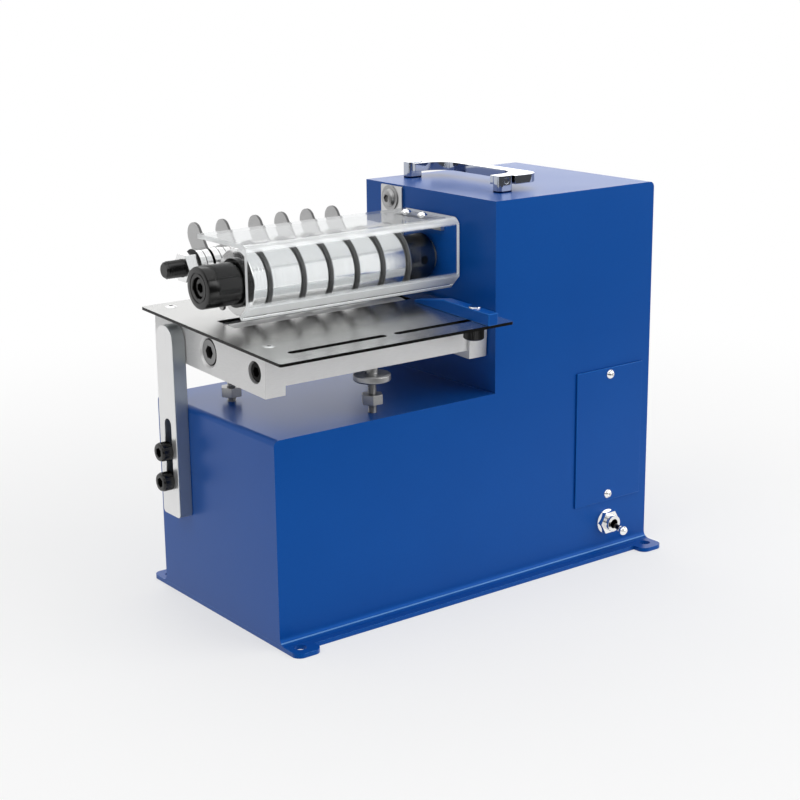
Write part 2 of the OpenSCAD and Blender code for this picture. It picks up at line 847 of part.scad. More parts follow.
module drive_plate() {
  front = shaft_y - drive_plate_w / 2;
  color(grey) from_corner() difference() {
    union() {
      translate([drive_plate_x, front, base_t])
        cube([drive_plate_t, drive_plate_w, drive_plate_top - base_t]);
      translate([drive_plate_x - drive_foot_l, front, base_t])
        cube([drive_foot_l + past, drive_plate_w, drive_foot_t]);
    }
    on_shaft() bar_x(drive_plate_x - past, drive_plate_x + drive_plate_t + past, bearing_od + 2 * fit_gap);
    translate([0, shaft_y, motor_z])
      bar_x(drive_plate_x - past, drive_plate_x + drive_plate_t + past, gearbox_boss_d + 2 * fit_gap);
  }
}

module blade_gear() {
  color(steel) from_corner() on_shaft() extrude_x(gear_x, gear_x + gear_w) difference() {
    rotate(-90) gear_outline(gear_teeth);
    circle(d = shaft_d + 2 * fit_gap);
  }
}

module motor_pinion() {
  color(steel) from_corner() translate([0, shaft_y, motor_z]) {
    extrude_x(gear_x, gear_x + gear_w) rotate(90 + 180 / pinion_teeth) gear_outline(pinion_teeth);
    bar_x(gear_x + gear_w - past, gearbox_x + gearbox_l / 2, pinion_shaft_d);
  }
}

module gearbox() {
  half = gearbox_side / 2;
  color(grey) from_corner() translate([0, shaft_y, motor_z]) difference() {
    union() {
      extrude_x(gearbox_x, motor_x) translate([-half, -half]) round_rect(gearbox_side, gearbox_side, 6);
      bar_x(drive_plate_x + move_gap, gearbox_x + past, gearbox_boss_d);
    }
    bar_x(drive_plate_x - past, gearbox_x + gearbox_l / 2 + move_gap, pinion_shaft_d + 2 * run_gap);
  }
}

module motor() {
  color(black) from_corner() translate([0, shaft_y, motor_z]) turned_x([
    [motor_x, 0], [motor_x, motor_d / 2], [motor_x + motor_l - 3, motor_d / 2],
    [motor_x + motor_l, motor_d / 2 - 3], [motor_x + motor_l, 0]
  ]);
}

// Stripper rod and fingers

// Middle of each finger: at the end of the lead spacer, then between the blades
function finger_x(i) =
  i == 0 ? stack_left + 1 : blade_x(i - 1) + blade_t + (i == 1 ? 0.4 * wide_strap : 0.5 * strap_w);
finger_count = blade_count;
outer_nut_right = finger_x(0) - finger_t / 2 - lead_rings_l;
wall_nut_left = wall_x - bracket_t - rod_nut_t;

module stripper_rod() {
  color(black) from_corner() on_rod() turned_x([
    [-rod_end, 0], [-rod_end, rod_d / 2 - 1.2], [-rod_end + 1.2, rod_d / 2],
    [rod_right, rod_d / 2], [rod_right, 0]
  ]);
}

module rod_nuts() {
  color(steel) from_corner() on_rod() for (x = [outer_nut_right - rod_nut_t, wall_nut_left, inner_x])
    extrude_x(x, x + rod_nut_t) difference() {
      hexagon(rod_nut_af);
      circle(d = rod_d + 2 * fit_gap);
    }
}

// Stack of rings on the rod, with a fine groove between rings
module ring_stack(from, to) {
  count = max(1, round((to - from) / ring_pitch));
  step = (to - from) / count;
  outer = ring_d / 2;
  difference() {
    tube_x(from, to, ring_d, rod_d + 2 * fit_gap);
    for (i = [1:1:count - 1]) translate([from + i * step, 0, 0])
      turned_x([[-ring_groove, outer + past], [0, outer - ring_groove], [ring_groove, outer + past]]);
  }
}

module rod_spacers() {
  color(aluminium) from_corner() on_rod() {
    ring_stack(outer_nut_right, finger_x(0) - finger_t / 2);
    for (i = [0:finger_count - 2])
      ring_stack(finger_x(i) + finger_t / 2, finger_x(i + 1) - finger_t / 2);
    ring_stack(finger_x(finger_count - 1) + finger_t / 2, wall_nut_left);
  }
}

module finger(i) {
  tip_at = spacer_d / 2 + finger_tip_gap + finger_tip_r;
  tip = [shaft_y - rod_y, shaft_z - rod_z] + polar(tip_at, finger_tip_angle);
  tab = [tab_dy, tab_dz];
  left = finger_x(i) - finger_t / 2;
  right = left + finger_t;
  color(steel) from_corner() on_rod() difference() {
    union() {
      bar_x(left, right, 2 * finger_boss_r);
      translate([0, tab[0], tab[1]]) bar_x(left, right, 2 * tab_r);
      translate([0, tip[0], tip[1]]) bar_x(left, right, 2 * finger_tip_r);
      extrude_x(left, right) link_band([0, 0], finger_boss_r, tab, tab_r);
      extrude_x(left, right) link_band([0, 0], finger_boss_r, tip, finger_tip_r);
    }
    bar_x(left - past, right + past, rod_d + 2 * fit_gap);
  }
}

module rod_bracket() {
  low = rod_z - bracket_below_rod;
  color(steel) from_corner() extrude_x(wall_x - bracket_t, wall_x) difference() {
    translate([rod_y - bracket_forward - bracket_w / 2, low]) round_rect(bracket_w, house_h - bracket_below_roof - low, 1);
    translate([rod_y, rod_z]) circle(d = rod_d + 2 * fit_gap);
    translate([rod_y, house_h - bracket_bolt_below_roof]) circle(d = bracket_bolt_d + 2 * fit_gap);
  }
}

module bracket_bolt() {
  seat = wall_x - bracket_t;
  head_r = 6.6;
  head_h = 3.6;
  washer_r = 9;
  color(chrome) from_corner() translate([0, rod_y, house_h - bracket_bolt_below_roof]) difference() {
    union() {
      turned_x([
        [seat - head_h, 0], [seat - head_h, 0.5 * head_r], [seat - 0.8 * head_h, 0.78 * head_r],
        [seat - 0.5 * head_h, 0.94 * head_r], [seat - 0.25 * head_h, head_r], [seat - 0.25 * head_h, washer_r],
        [seat, washer_r], [seat, 0]
      ]);
      bar_x(seat - past, inner_x + 8, bracket_bolt_d);
    }
    extrude_x(seat - head_h - past, seat - 0.3 * head_h) hexagon(5);
  }
}

// Guard

module guard_outline() {
  inner_r = guard_r - guard_t;
  lip_step = guard_t * tan(22.5);
  front = guard_front_y;
  difference() {
    union() {
      translate([front, guard_top_z - guard_t]) square([shaft_y + guard_back - front, guard_t]);
      translate([front, guard_low_z]) square([guard_t, guard_top_z - guard_low_z]);
      translate([front, guard_top_z - guard_r]) square(guard_r);
      polygon([
        [front, guard_low_z + past], [front, guard_low_z], [front + guard_lip, guard_low_z - guard_lip],
        [front + guard_lip + guard_t / sqrt(2), guard_low_z - guard_lip + guard_t / sqrt(2)],
        [front + guard_t, guard_low_z + lip_step], [front + guard_t, guard_low_z + past]
      ]);
    }
    translate([front + guard_r, guard_top_z - guard_r]) {
      rotate(90) corner_waste(guard_r);
      circle(inner_r);
    }
  }
}

module guard() {
  color(clear) from_corner() difference() {
    extrude_x(guard_x, guard_right) guard_outline();
    for (y = guard_screw_y()) translate([wall_x - guard_screw_in, y, guard_top_z - 2 * guard_t])
      cylinder(d = button_d + 2 * fit_gap, h = 3 * guard_t);
  }
}

module guard_bracket() {
  top = guard_top_z - guard_t;
  front = shaft_y - 4 - guard_leg_w / 2;
  color(steel) from_corner() difference() {
    union() {
      translate([wall_x - guard_leg, front, top - guard_leg_t]) cube([guard_leg, guard_leg_w, guard_leg_t]);
      translate([wall_x - guard_leg_t, front, top - guard_leg_drop])
        cube([guard_leg_t, guard_leg_w, guard_leg_drop]);
    }
    for (y = guard_screw_y()) translate([wall_x - guard_screw_in, y, top - 2 * guard_leg_t])
      cylinder(d = button_d + 2 * fit_gap, h = 3 * guard_leg_t);
  }
}

// Table

function table_screw_places() = [
  for (x = [left_end_x + table_screw_in, right_end_x + end_t - table_screw_in], u = [-end_front + 8, end_back - 8])
    [x, u]
];

module table_plate() {
  color(steel) from_corner() on_table() difference() {
    translate([-plate_left, -plate_front, end_h / 2]) linear_extrude(table_t)
      round_rect(plate_left + plate_right, plate_front + plate_back, plate_corner_r);
    translate([opening_left, -anvil_reach - opening_w / 2, 0])
      cube([opening_right - opening_left, opening_w, end_h]);
    for (x = [slot_1_x, slot_2_x]) translate([x, slot_u, 0]) linear_extrude(end_h) slot_outline(slot_l, slot_w);
    for (p = table_screw_places()) translate([p[0], p[1], table_top]) {
      translate([0, 0, -table_screw_head_h - fit_gap])
        cylinder(d1 = table_screw_d, d2 = table_screw_head_d, h = table_screw_head_h + 2 * fit_gap);
      translate([0, 0, -end_h]) cylinder(d = table_screw_d + 2 * fit_gap, h = 2 * end_h);
    }
  }
}

module table_screws() {
  crown_r = table_screw_head_d / 2 - 0.8;
  crown_root = 0.3;
  color(steel) from_corner() on_table() for (p = table_screw_places()) translate([p[0], p[1], table_top]) {
    difference() {
      union() {
        rotate_extrude() polygon([
          [0, -crown_root], [crown_r, -crown_root], [crown_r, 0], [0.85 * crown_r, 0.5 * table_screw_crown],
          [0.5 * crown_r, 0.9 * table_screw_crown], [0, table_screw_crown]
        ]);
        translate([0, 0, -table_screw_head_h])
          cylinder(d1 = table_screw_d - 2 * fit_gap, d2 = table_screw_head_d - 0.3, h = table_screw_head_h);
      }
      translate([0, 0, -1.2]) linear_extrude(table_screw_head_h + table_screw_crown) hexagon(3);
    }
    translate([0, 0, -table_t - table_screw_l])
      cylinder(d = table_screw_d, h = table_t + table_screw_l - table_screw_head_h + fit_gap);
  }
}

// Bar between the plate and the floor side of the table, with its plate screw holes
module end_plate_blank(x) {
  difference() {
    translate([x, -end_front, -end_h / 2]) cube([end_t, end_front + end_back, end_h]);
    for (p = table_screw_places()) translate([p[0], p[1], end_h / 2 - table_screw_l - fit_gap])
      cylinder(d = table_screw_d + 2 * fit_gap, h = table_screw_l + past);
  }
}

module left_end_plate() {
  color(steel) from_corner() on_table() difference() {
    end_plate_blank(left_end_x);
    // Roller axle with its countersunk head
    translate([0, -anvil_reach, 0]) {
      bar_x(left_end_x - past, left_end_x + end_t + past, axle_d + 2 * fit_gap);
      turned_x([
        [left_end_x - past, 0], [left_end_x - past, axle_head_d / 2 + fit_gap],
        [left_end_x, axle_head_d / 2 + fit_gap], [left_end_x + axle_head_h, axle_d / 2 + fit_gap],
        [left_end_x + axle_head_h, 0]
      ]);
    }
    // Counterbored screw into the front rail
    translate([0, frame_screw_u, 0]) {
      bar_x(left_end_x - past, left_end_x + counterbore_h, counterbore_d);
      bar_x(left_end_x, left_end_x + end_t + past, frame_screw_d + 2 * fit_gap);
    }
    // Pivot pin
    bar_x(left_end_x - past, left_end_x + pivot_pin_in + move_gap, pivot_pin_d + 2 * run_gap);
  }
}

module right_end_plate() {
  color(steel) from_corner() on_table() difference() {
    end_plate_blank(right_end_x);
    translate([0, -anvil_reach, 0]) bar_x(right_end_x - past, right_end_x + end_t + past, axle_d + 2 * fit_gap);
    bar_x(right_end_x + end_t - pivot_pin_in - move_gap, right_end_x + end_t + past, pivot_pin_d + 2 * run_gap);
  }
}

module frame_screws() {
  color(black) from_corner() on_table() translate([0, frame_screw_u, 0])
    cap_screw_x(left_end_x + counterbore_h, frame_screw_d, frame_head_d, frame_head_h, end_t - counterbore_h + 16);
}

module front_rail() {
  color(steel) from_corner() on_table() difference() {
    translate([left_end_x + end_t, front_rail_u, rail_low])
      cube([right_end_x - left_end_x - end_t, front_rail_t, rail_h]);
    translate([0, frame_screw_u, 0])
      bar_x(left_end_x, left_end_x + end_t + tap_l, frame_screw_d + 2 * fit_gap);
    translate([jack_x, -jack_reach, rail_low - past]) cylinder(d = jack_hole_d, h = jack_hole_up + past);
  }
}

module rear_rail() {
  color(steel) from_corner() on_table() translate([left_end_x + end_t, rear_rail_u, rail_low])
    cube([right_end_x - left_end_x - end_t, rear_rail_t, rail_h]);
}

module anvil_roller() {
  color(steel) from_corner() on_table() translate([0, -anvil_reach, 0])
    tube_x(roller_left, roller_right, anvil_d, bush_d + 2 * fit_gap);
}

module anvil_bushes() {
  color([0.72, 0.55, 0.3]) from_corner() on_table() translate([0, -anvil_reach, 0])
    for (ends = [[roller_left, roller_left + bush_l], [roller_right - bush_l, right_end_x - roller_end_gap]])
      tube_x(ends[0], ends[1], bush_d, axle_d + 2 * run_gap);
}

// Radius of the axle's countersunk head at a depth below the end plate's face
function axle_cone_r(depth) = axle_head_d / 2 - 0.3 - depth * (axle_head_d - axle_d) / 2 / axle_head_h;

module anvil_axle() {
  color(steel) from_corner() on_table() translate([0, -anvil_reach, 0]) difference() {
    union() {
      turned_x([
        [left_end_x + 0.8, 0], [left_end_x + 0.8, axle_cone_r(1.3) - 0.5],
        [left_end_x + 1.3, axle_cone_r(1.3)], [left_end_x + axle_head_h, axle_cone_r(axle_head_h)],
        [left_end_x + axle_head_h, 0]
      ]);
      bar_x(left_end_x + axle_head_h - fit_gap, right_end_x + end_t, axle_d);
    }
    extrude_x(left_end_x - past, left_end_x + 5) hexagon(8);
  }
}

// Fence

module fence() {
  front = -plate_front - 1;
  back = front + fence_l;
  end = back + fence_tail_l;
  color(blue) from_corner() on_table() difference() {
    translate([fence_x - fence_w / 2, 0, 0]) extrude_x(0, fence_w) polygon([
      [front, fence_low], [end, fence_low], [end, fence_low + fence_tail_h],
      [back, fence_low + fence_h], [front, fence_low + fence_h]
    ]);
    translate([fence_x, slot_u, 0]) cylinder(d = fence_screw_d + 2 * fit_gap, h = 3 * end_h);
  }
}

module fence_screw() {
  top = fence_low + fence_h;
  nut_top = end_h / 2 - slide_gap;
  color(chrome) from_corner() on_table() translate([fence_x, slot_u, 0]) {
    translate([0, 0, top]) cylinder(d1 = fence_head_d, d2 = fence_head_d - 1.2, h = 1);
    translate([0, 0, nut_top - past]) cylinder(d = fence_screw_d, h = top - nut_top + 2 * past);
    // Round thumb nut under the plate
    translate([0, 0, nut_top - thumb_nut_t]) rotate_extrude() polygon([
      [0, 0], [thumb_nut_d / 2 - thumb_nut_edge, 0], [thumb_nut_d / 2, thumb_nut_edge],
      [thumb_nut_d / 2, thumb_nut_t - thumb_nut_edge], [thumb_nut_d / 2 - thumb_nut_edge, thumb_nut_t],
      [0, thumb_nut_t]
    ]);
  }
}

// Support bar and jacks

module support_bar() {
  slot_low = bar_screw_z[1] - bar_slot_down;
  slot_high = bar_screw_z[0] + bar_slot_up;
  color(steel) from_corner() difference() {
    extrude_x(-bar_t, 0) difference() {
      union() {
        translate([bar_y - bar_w / 2, bar_bottom_z + bar_corner_r])
          square([bar_w, pivot_z - bar_bottom_z - bar_corner_r]);
        translate([bar_y - bar_w / 2, bar_bottom_z]) round_rect(bar_w, 3 * bar_corner_r, bar_corner_r);
        translate([bar_y, pivot_z]) circle(d = bar_w);
      }
      translate([bar_y, slot_low]) rotate(90) slot_outline(slot_high - slot_low, bar_slot_w);
    }
    translate([0, pivot_y, pivot_z]) bar_x(-bar_t + 2, past, pivot_pin_d + 2 * fit_gap);
  }
}

module bar_screws() {
  color(black) from_corner() for (z = bar_screw_z) translate([0, bar_y, z])
    cap_screw_x(-bar_t, bar_screw_d, bar_head_d, bar_head_h, bar_t + sheet_t + 9);
}

// Left pin in the support bar, right pin in the wall of the drive box
module pivot_pins() {
  color(steel) from_corner() translate([0, pivot_y, pivot_z]) {
    bar_x(-bar_t + 2, left_end_x + pivot_pin_in, pivot_pin_d);
    bar_x(right_end_x + end_t - pivot_pin_in, inner_x + pivot_flange_t, pivot_pin_d);
    bar_x(inner_x, inner_x + pivot_flange_t, pivot_flange_d);
  }
}

module jack_studs() {
  low = deck_h - sheet_t - stud_under_deck;
  tops = [rail_z_at_jack + stud_top_in_rail, stop_top];
  color(steel) from_corner() for (i = [0, 1])
    translate([stud_places()[i][0], stud_places()[i][1], low]) cylinder(d = stud_d, h = tops[i] - low);
}

// Nuts on both studs, above the deck and locking them from below
module jack_nuts() {
  above = [jack_nut_above_deck, stop_nut_above_deck];
  color(chrome) from_corner() for (i = [0, 1]) translate(stud_places()[i]) {
    translate([0, 0, deck_h + above[i]]) nut(jack_nut_af, jack_nut_t, stud_d + 2 * fit_gap);
    translate([0, 0, deck_h - sheet_t - deck_nut_t]) nut(jack_nut_af, deck_nut_t, stud_d + 2 * fit_gap);
  }
}

module thumb_wheel() {
  color(steel) from_corner() translate([jack_x, jack_y, wheel_low]) difference() {
    union() {
      rotate_extrude() polygon([
        [0, 0], [wheel_d / 2 - wheel_edge, 0], [wheel_d / 2, wheel_edge], [wheel_d / 2, wheel_t - wheel_edge],
        [wheel_d / 2 - wheel_edge, wheel_t], [0, wheel_t]
      ]);
      cylinder(d = wheel_hub_d, h = wheel_t + wheel_hub_h);
    }
    translate([0, 0, -past]) cylinder(d = stud_d + 2 * run_gap, h = wheel_t + wheel_hub_h + 2 * past);
  }
}

module cable_gland() {
  inside = sheet_t + 6;
  color(black) from_corner() translate([gland_x, house_d, gland_z]) rotate([-90, 0, 0]) difference() {
    union() {
      translate([0, 0, -inside]) cylinder(d = gland_thread_d, h = inside + past);
      linear_extrude(gland_hex_t) hexagon(gland_hex_af);
      translate([0, 0, gland_hex_t]) cylinder(d1 = gland_dome_d, d2 = gland_dome_d - 5, h = gland_dome_l);
    }
    translate([0, 0, -inside - past]) cylinder(d = gland_bore_d, h = inside + gland_hex_t + gland_dome_l + 2 * past);
  }
}

housing();
base_plate();
access_cover();
button_screws();
switch_body();
switch_nut();
toggle_lever();
handle_lugs();
handle_bail();
blade_shaft();
blade(0);  // blade_1
blade(1);  // blade_2
blade(2);  // blade_3
blade(3);  // blade_4
blade(4);  // blade_5
blade(5);  // blade_6
blade_spacers();
clamp_flange();
end_cap();
end_cap_screw();
shaft_collar();
bearing_block();
shaft_bearings();
drive_plate();
blade_gear();
motor_pinion();
gearbox();
motor();
stripper_rod();
rod_nuts();
rod_spacers();
finger(0);  // finger_1
finger(1);  // finger_2
finger(2);  // finger_3
finger(3);  // finger_4
finger(4);  // finger_5
finger(5);  // finger_6
rod_bracket();
bracket_bolt();
guard();
guard_bracket();
table_plate();
left_end_plate();
right_end_plate();
front_rail();
rear_rail();
table_screws();
frame_screws();
anvil_roller();
anvil_bushes();
anvil_axle();
fence();
fence_screw();
support_bar();
bar_screws();
pivot_pins();
jack_studs();
jack_nuts();
thumb_wheel();
cable_gland();
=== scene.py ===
import json
import math

import bmesh
import bpy
from mathutils import Matrix, Vector

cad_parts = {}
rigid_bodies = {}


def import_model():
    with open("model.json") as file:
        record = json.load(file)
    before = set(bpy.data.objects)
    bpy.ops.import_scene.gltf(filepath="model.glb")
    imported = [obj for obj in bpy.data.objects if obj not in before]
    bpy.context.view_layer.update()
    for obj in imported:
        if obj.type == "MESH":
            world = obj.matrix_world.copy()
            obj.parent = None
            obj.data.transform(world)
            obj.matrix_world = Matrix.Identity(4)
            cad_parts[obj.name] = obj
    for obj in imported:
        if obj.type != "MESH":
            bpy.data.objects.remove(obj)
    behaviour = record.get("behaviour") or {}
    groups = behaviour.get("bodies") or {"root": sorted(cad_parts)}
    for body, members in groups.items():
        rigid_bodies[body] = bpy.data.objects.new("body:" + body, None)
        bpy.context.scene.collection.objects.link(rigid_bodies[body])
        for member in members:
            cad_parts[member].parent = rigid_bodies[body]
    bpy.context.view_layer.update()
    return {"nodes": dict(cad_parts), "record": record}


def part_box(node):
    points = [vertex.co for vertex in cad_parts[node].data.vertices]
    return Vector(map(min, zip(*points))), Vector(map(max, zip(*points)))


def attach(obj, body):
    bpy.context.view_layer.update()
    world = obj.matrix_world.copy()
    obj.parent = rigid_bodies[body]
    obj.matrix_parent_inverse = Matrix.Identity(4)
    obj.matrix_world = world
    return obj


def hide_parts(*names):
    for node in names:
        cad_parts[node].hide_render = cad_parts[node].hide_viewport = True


for leftover in list(bpy.data.objects):
    bpy.data.objects.remove(leftover)
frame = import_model()

MM = 0.001
X = 0
Y = 1
Z = 2
X_AXIS = Vector((1, 0, 0))
Z_AXIS = Vector((0, 0, 1))
SHARP_ANGLE = math.radians(32)
FLAT_ANGLE = math.radians(0.4)
WELD_GAP = 0.02 * MM
TABLE_TILT = math.radians(2.5)
NODES = frame["nodes"]


def middle(name):
    """Centre of a node's box."""
    low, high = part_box(name)
    return (low + high) / 2


def half_height(name):
    """Outer radius of a round node whose axis is level."""
    low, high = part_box(name)
    return (high.z - low.z) / 2


SHAFT = middle("blade_shaft")
SHAFT_R = half_height("blade_shaft")


# Node trees

NOISE_LOW = 0.2
NOISE_HIGH = 0.8
# Radians that a wave texture runs through for each unit of its scale
WAVE_RATE = 20
BAND_WAVER = 0.5
CIRCLE_WAVER = 0.6
# Axes that a distance is measured along
ACROSS_X = (0, 1, 1)
ACROSS_Y = (1, 0, 1)
ALL_AXES = (1, 1, 1)


class Tree:
    """A shader node tree with short ways to add nodes to it."""

    def __init__(self, tree):
        self.tree = tree

    def add(self, kind, inputs=None, **settings):
        """A new node; each input is a value or another node's output."""
        node = self.tree.nodes.new(kind)
        for key, value in settings.items():
            setattr(node, key, value)
        for key, value in (inputs or {}).items():
            if isinstance(value, bpy.types.NodeSocket):
                self.tree.links.new(value, node.inputs[key])
            else:
                node.inputs[key].default_value = value
        return node

    def joined(self, first, second, operation):
        return self.add("ShaderNodeMath", {0: first, 1: second}, operation=operation).outputs[0]

    def unsigned(self, value):
        return self.add("ShaderNodeMath", {0: value}, operation="ABSOLUTE").outputs[0]

    def part(self, vector, axis):
        return self.add("ShaderNodeSeparateXYZ", {"Vector": vector}).outputs[axis]

    def length(self, vector):
        return self.add("ShaderNodeVectorMath", {0: vector}, operation="LENGTH").outputs["Value"]

    def spread(self, value, ends, results, **settings):
        """A value between two ends, spread over two results."""
        inputs = {
            "Value": value,
            "From Min": ends[0],
            "From Max": ends[1],
            "To Min": results[0],
            "To Max": results[1],
        }
        return self.add("ShaderNodeMapRange", inputs, **settings).outputs[0]

    def ramp(self, value, ends, results):
        """A spread that starts and stops softly."""
        return self.spread(value, ends, results, interpolation_type="SMOOTHSTEP")

    def between(self, factor, first, second):
        """A number between two; sockets 2 and 3 of a Mix node take numbers."""
        return self.add("ShaderNodeMix", {0: factor, 2: first, 3: second}).outputs[0]

    def ray(self, kind):
        """1 for rays of that kind."""
        return self.add("ShaderNodeLightPath").outputs[f"Is {kind} Ray"]

    def seen(self):
        """1 for rays from the camera or through glass."""
        return self.joined(self.ray("Camera"), self.ray("Transmission"), "MAXIMUM")


class Look(Tree):
    """A material with its Principled shader."""

    def __init__(self, name, sockets):
        self.name = name
        self.material = bpy.data.materials.new(name)
        self.material.use_nodes = True
        super().__init__(self.material.node_tree)
        self.shader = self.tree.nodes["Principled BSDF"]
        for socket, value in sockets.items():
            self.shader.inputs[socket].default_value = value
        coords = self.add("ShaderNodeTexCoord")
        self.place = coords.outputs["Object"]
        self.normal = coords.outputs["Normal"]

    def set(self, socket, value):
        self.tree.links.new(value, self.shader.inputs[socket])

    def mapped(self, scale, shift=(0, 0, 0)):
        """Object coordinates, scaled and then shifted."""
        inputs = {"Vector": self.place, "Scale": scale, "Location": shift}
        return self.add("ShaderNodeMapping", inputs).outputs[0]

    def noise(self, size, detail=2.0, stretch=(1, 1, 1)):
        """Noise with lumps about size metres across, drawn out along each axis by stretch."""
        place = self.mapped([1 / (size * along) for along in stretch])
        return self.add("ShaderNodeTexNoise", {"Vector": place, "Scale": 1.0, "Detail": detail}).outputs[0]

    def waves(self, place, period, waver, **settings):
        inputs = {
            "Vector": place,
            "Scale": 2 * math.pi / (WAVE_RATE * period),
            "Distortion": waver,
            "Detail": 2.0,
        }
        return self.add("ShaderNodeTexWave", inputs, **settings).outputs["Fac"]

    def bands(self, period):
        """Fine parallel lines a period apart along X."""
        return self.waves(self.place, period, BAND_WAVER, bands_direction="X")

    def circles(self, period, centre):
        """Fine circles a period apart about an axis along X through centre."""
        place = self.mapped((1, 1, 1), [-value for value in centre])
        return self.waves(place, period, CIRCLE_WAVER, wave_type="RINGS", rings_direction="X")

    def ranged(self, factor, low, high):
        """A noise factor spread over low to high."""
        return self.spread(factor, (NOISE_LOW, NOISE_HIGH), (low, high), clamp=False)

    def facing(self, axis, least):
        """1 where the surface faces along an axis of the object, 0 elsewhere."""
        return self.joined(self.unsigned(self.part(self.normal, axis)), least, "GREATER_THAN")

    def beyond(self, centre, axes, reach):
        """1 further than reach from centre, measured along the axes given as ones and zeros."""
        shift = [-value * used for value, used in zip(centre, axes)]
        return self.joined(self.length(self.mapped(axes, shift)), reach, "GREATER_THAN")

    def blended(self, factor, first, second):
        """A colour between two, each a colour or another node's output; sockets 6 and 7 take colours."""
        inputs = {0: factor, 6: first, 7: second}
        return self.add("ShaderNodeMix", inputs, data_type="RGBA").outputs[2]

    def colour(self, factor, first, second):
        self.set("Base Color", self.blended(factor, first, second))

    def shade(self):
        """The colour that the shader has so far."""
        return self.shader.inputs["Base Color"].links[0].from_socket

    def keep_where(self, factor, other):
        """The colour stays where factor is 1, and is another one elsewhere."""
        self.colour(factor, other, self.shade())

    def change_where(self, factor, other):
        """The colour is another one where factor is 1, and stays elsewhere."""
        self.colour(factor, self.shade(), other)

    def bump(self, *layers):
        """Bump from (height, depth in metres) pairs, one on top of the other."""
        normal = None
        for height, depth in layers:
            inputs = {"Height": height, "Distance": depth}
            if normal is not None:
                inputs["Normal"] = normal
            normal = self.add("ShaderNodeBump", inputs).outputs[0]
        self.set("Normal", normal)


# Finishes, some with painted highlights, reflections and shade

PLASTIC_GLOSS = 0.45


def grey(level):
    return (level, level, level, 1)


def blue_paint(name, deep, light):
    """Semi-gloss paint, clouded a little between two blues."""
    look = Look(name, {
        "Specular IOR Level": 0.7,
        "Specular Tint": (0.0, 0.2, 0.9, 1),
        "Coat Weight": 0.03,
        "Coat Roughness": 0.2,
    })
    cloud = look.joined(look.noise(70 * MM), look.noise(0.9 * MM), "MULTIPLY")
    look.colour(look.joined(cloud, 2.0, "MULTIPLY"), deep, light)
    look.set("Roughness", look.ranged(look.noise(90 * MM), 0.285, 0.325))
    look.bump((look.noise(3 * MM, 1), 0.003 * MM))
    return look


def metal(name, shades, rough, grain, depth=None, streak=(1, 1, 1), tint=(1, 1, 1), bare=1.0):
    """Metal between two close shades, with a roughness range and a grain that is drawn out along streak.
    The grain is bump too where it has a depth. The metal is satin where bare is below 1."""
    look = Look(name, {"Metallic": bare})
    wear = look.noise(25 * MM, 4)
    lines = look.noise(grain, 3, streak)
    half = look.joined(look.joined(wear, lines, "ADD"), 0.5, "MULTIPLY")
    dark, light = [tuple(level * part for part in tint) + (1,) for level in shades]
    look.colour(look.ranged(half, 0, 1), dark, light)
    look.set("Roughness", look.ranged(half, *rough))
    if depth:
        look.bump((lines, depth))
    return look


def stainless():
    """Brushed sheet, bright on its top and bottom faces and near black on its side faces."""
    look = metal(
        "stainless", shades=(0.52, 0.62), rough=(0.25, 0.27), grain=0.35 * MM, depth=0.006 * MM,
        streak=(60, 1, 1), tint=(1, 1, 0.985))
    look.keep_where(look.facing(Z, 0.5), grey(0.02))
    return look


def cut_sheet():
    """Satin sheet steel of the stripper fingers, darker round the cut rim."""
    look = metal(
        "cut_sheet", shades=(0.46, 0.58), rough=(0.34, 0.44), grain=0.8 * MM, depth=0.01 * MM, bare=0.5)
    look.keep_where(look.facing(X, 0.5), grey(0.12))
    return look


def turned_aluminium():
    """Bright metal with the fine lines and the slight waves of turning."""
    look = metal("turned_aluminium", shades=(0.8, 0.9), rough=(0.1, 0.16), grain=2 * MM, streak=(1, 6, 6))
    look.bump((look.bands(0.7 * MM), 0.012 * MM), (look.noise(4 * MM, 2, (1, 8, 8)), 0.02 * MM))
    return look


def blade_steel():
    """Ground blades: grey rims, dark flanks with the circles of the grinding."""
    look = metal("blade_steel", shades=(0.2, 0.28), rough=(0.25, 0.4), grain=1.2 * MM)
    look.change_where(look.facing(X, 0.7), grey(0.09))
    look.bump((look.circles(0.6 * MM, SHAFT), 0.008 * MM))
    return look


def black_oxide(name, gloss, rough):
    look = Look(name, {"Specular IOR Level": gloss})
    look.colour(look.ranged(look.noise(4 * MM, 4), 0, 1), grey(0.002), grey(0.005))
    look.set("Roughness", look.ranged(look.noise(12 * MM), *rough))
    look.bump((look.noise(1.2 * MM, 1), 0.003 * MM))
    return look


def handle_chrome():
    """Plating of the handle, with a painted dark reflection down its sides and a painted shadow line round
    its feet.
    """
    look = metal("handle_chrome", shades=(0.68, 0.76), rough=(0.04, 0.1), grain=6 * MM, depth=0.003 * MM)
    # Painted dark reflection: a dull grey-blue on the side faces
    look.keep_where(look.facing(Z, 0.5), (0.42, 0.45, 0.52, 1))
    # Painted shadow: a dark navy line round the feet, up to this height
    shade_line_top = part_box("handle_lugs")[0].z + 1.1 * MM
    low_down = look.joined(look.part(look.place, Z), shade_line_top, "LESS_THAN")
    look.change_where(low_down, (0.004, 0.01, 0.05, 1))
    return look


def ring_steel():
    """Bright rings on the stripper rod, with painted shade in the grooves between them."""
    look = metal("ring_steel", shades=(0.7, 0.8), rough=(0.16, 0.24), grain=0.8 * MM, depth=0.005 * MM)
    groove_r = half_height("rod_spacers") - 0.12 * MM
    # Painted shade: near black inside the groove radius
    look.keep_where(look.beyond(middle("rod_spacers"), ACROSS_X, groove_r), grey(0.02))
    return look


def drawn_steel():
    """Drawn bar, bright on its broad faces, with painted shade on its narrow ones."""
    look = metal(
        "drawn_steel", shades=(0.72, 0.8), rough=(0.285, 0.34), grain=0.6 * MM, depth=0.002 * MM,
        streak=(1, 1, 40), bare=0.8)
    # Painted shade: faces that don't face along X take a darker grey
    look.keep_where(look.facing(X, 0.6), (0.44, 0.47, 0.48, 1))
    return look


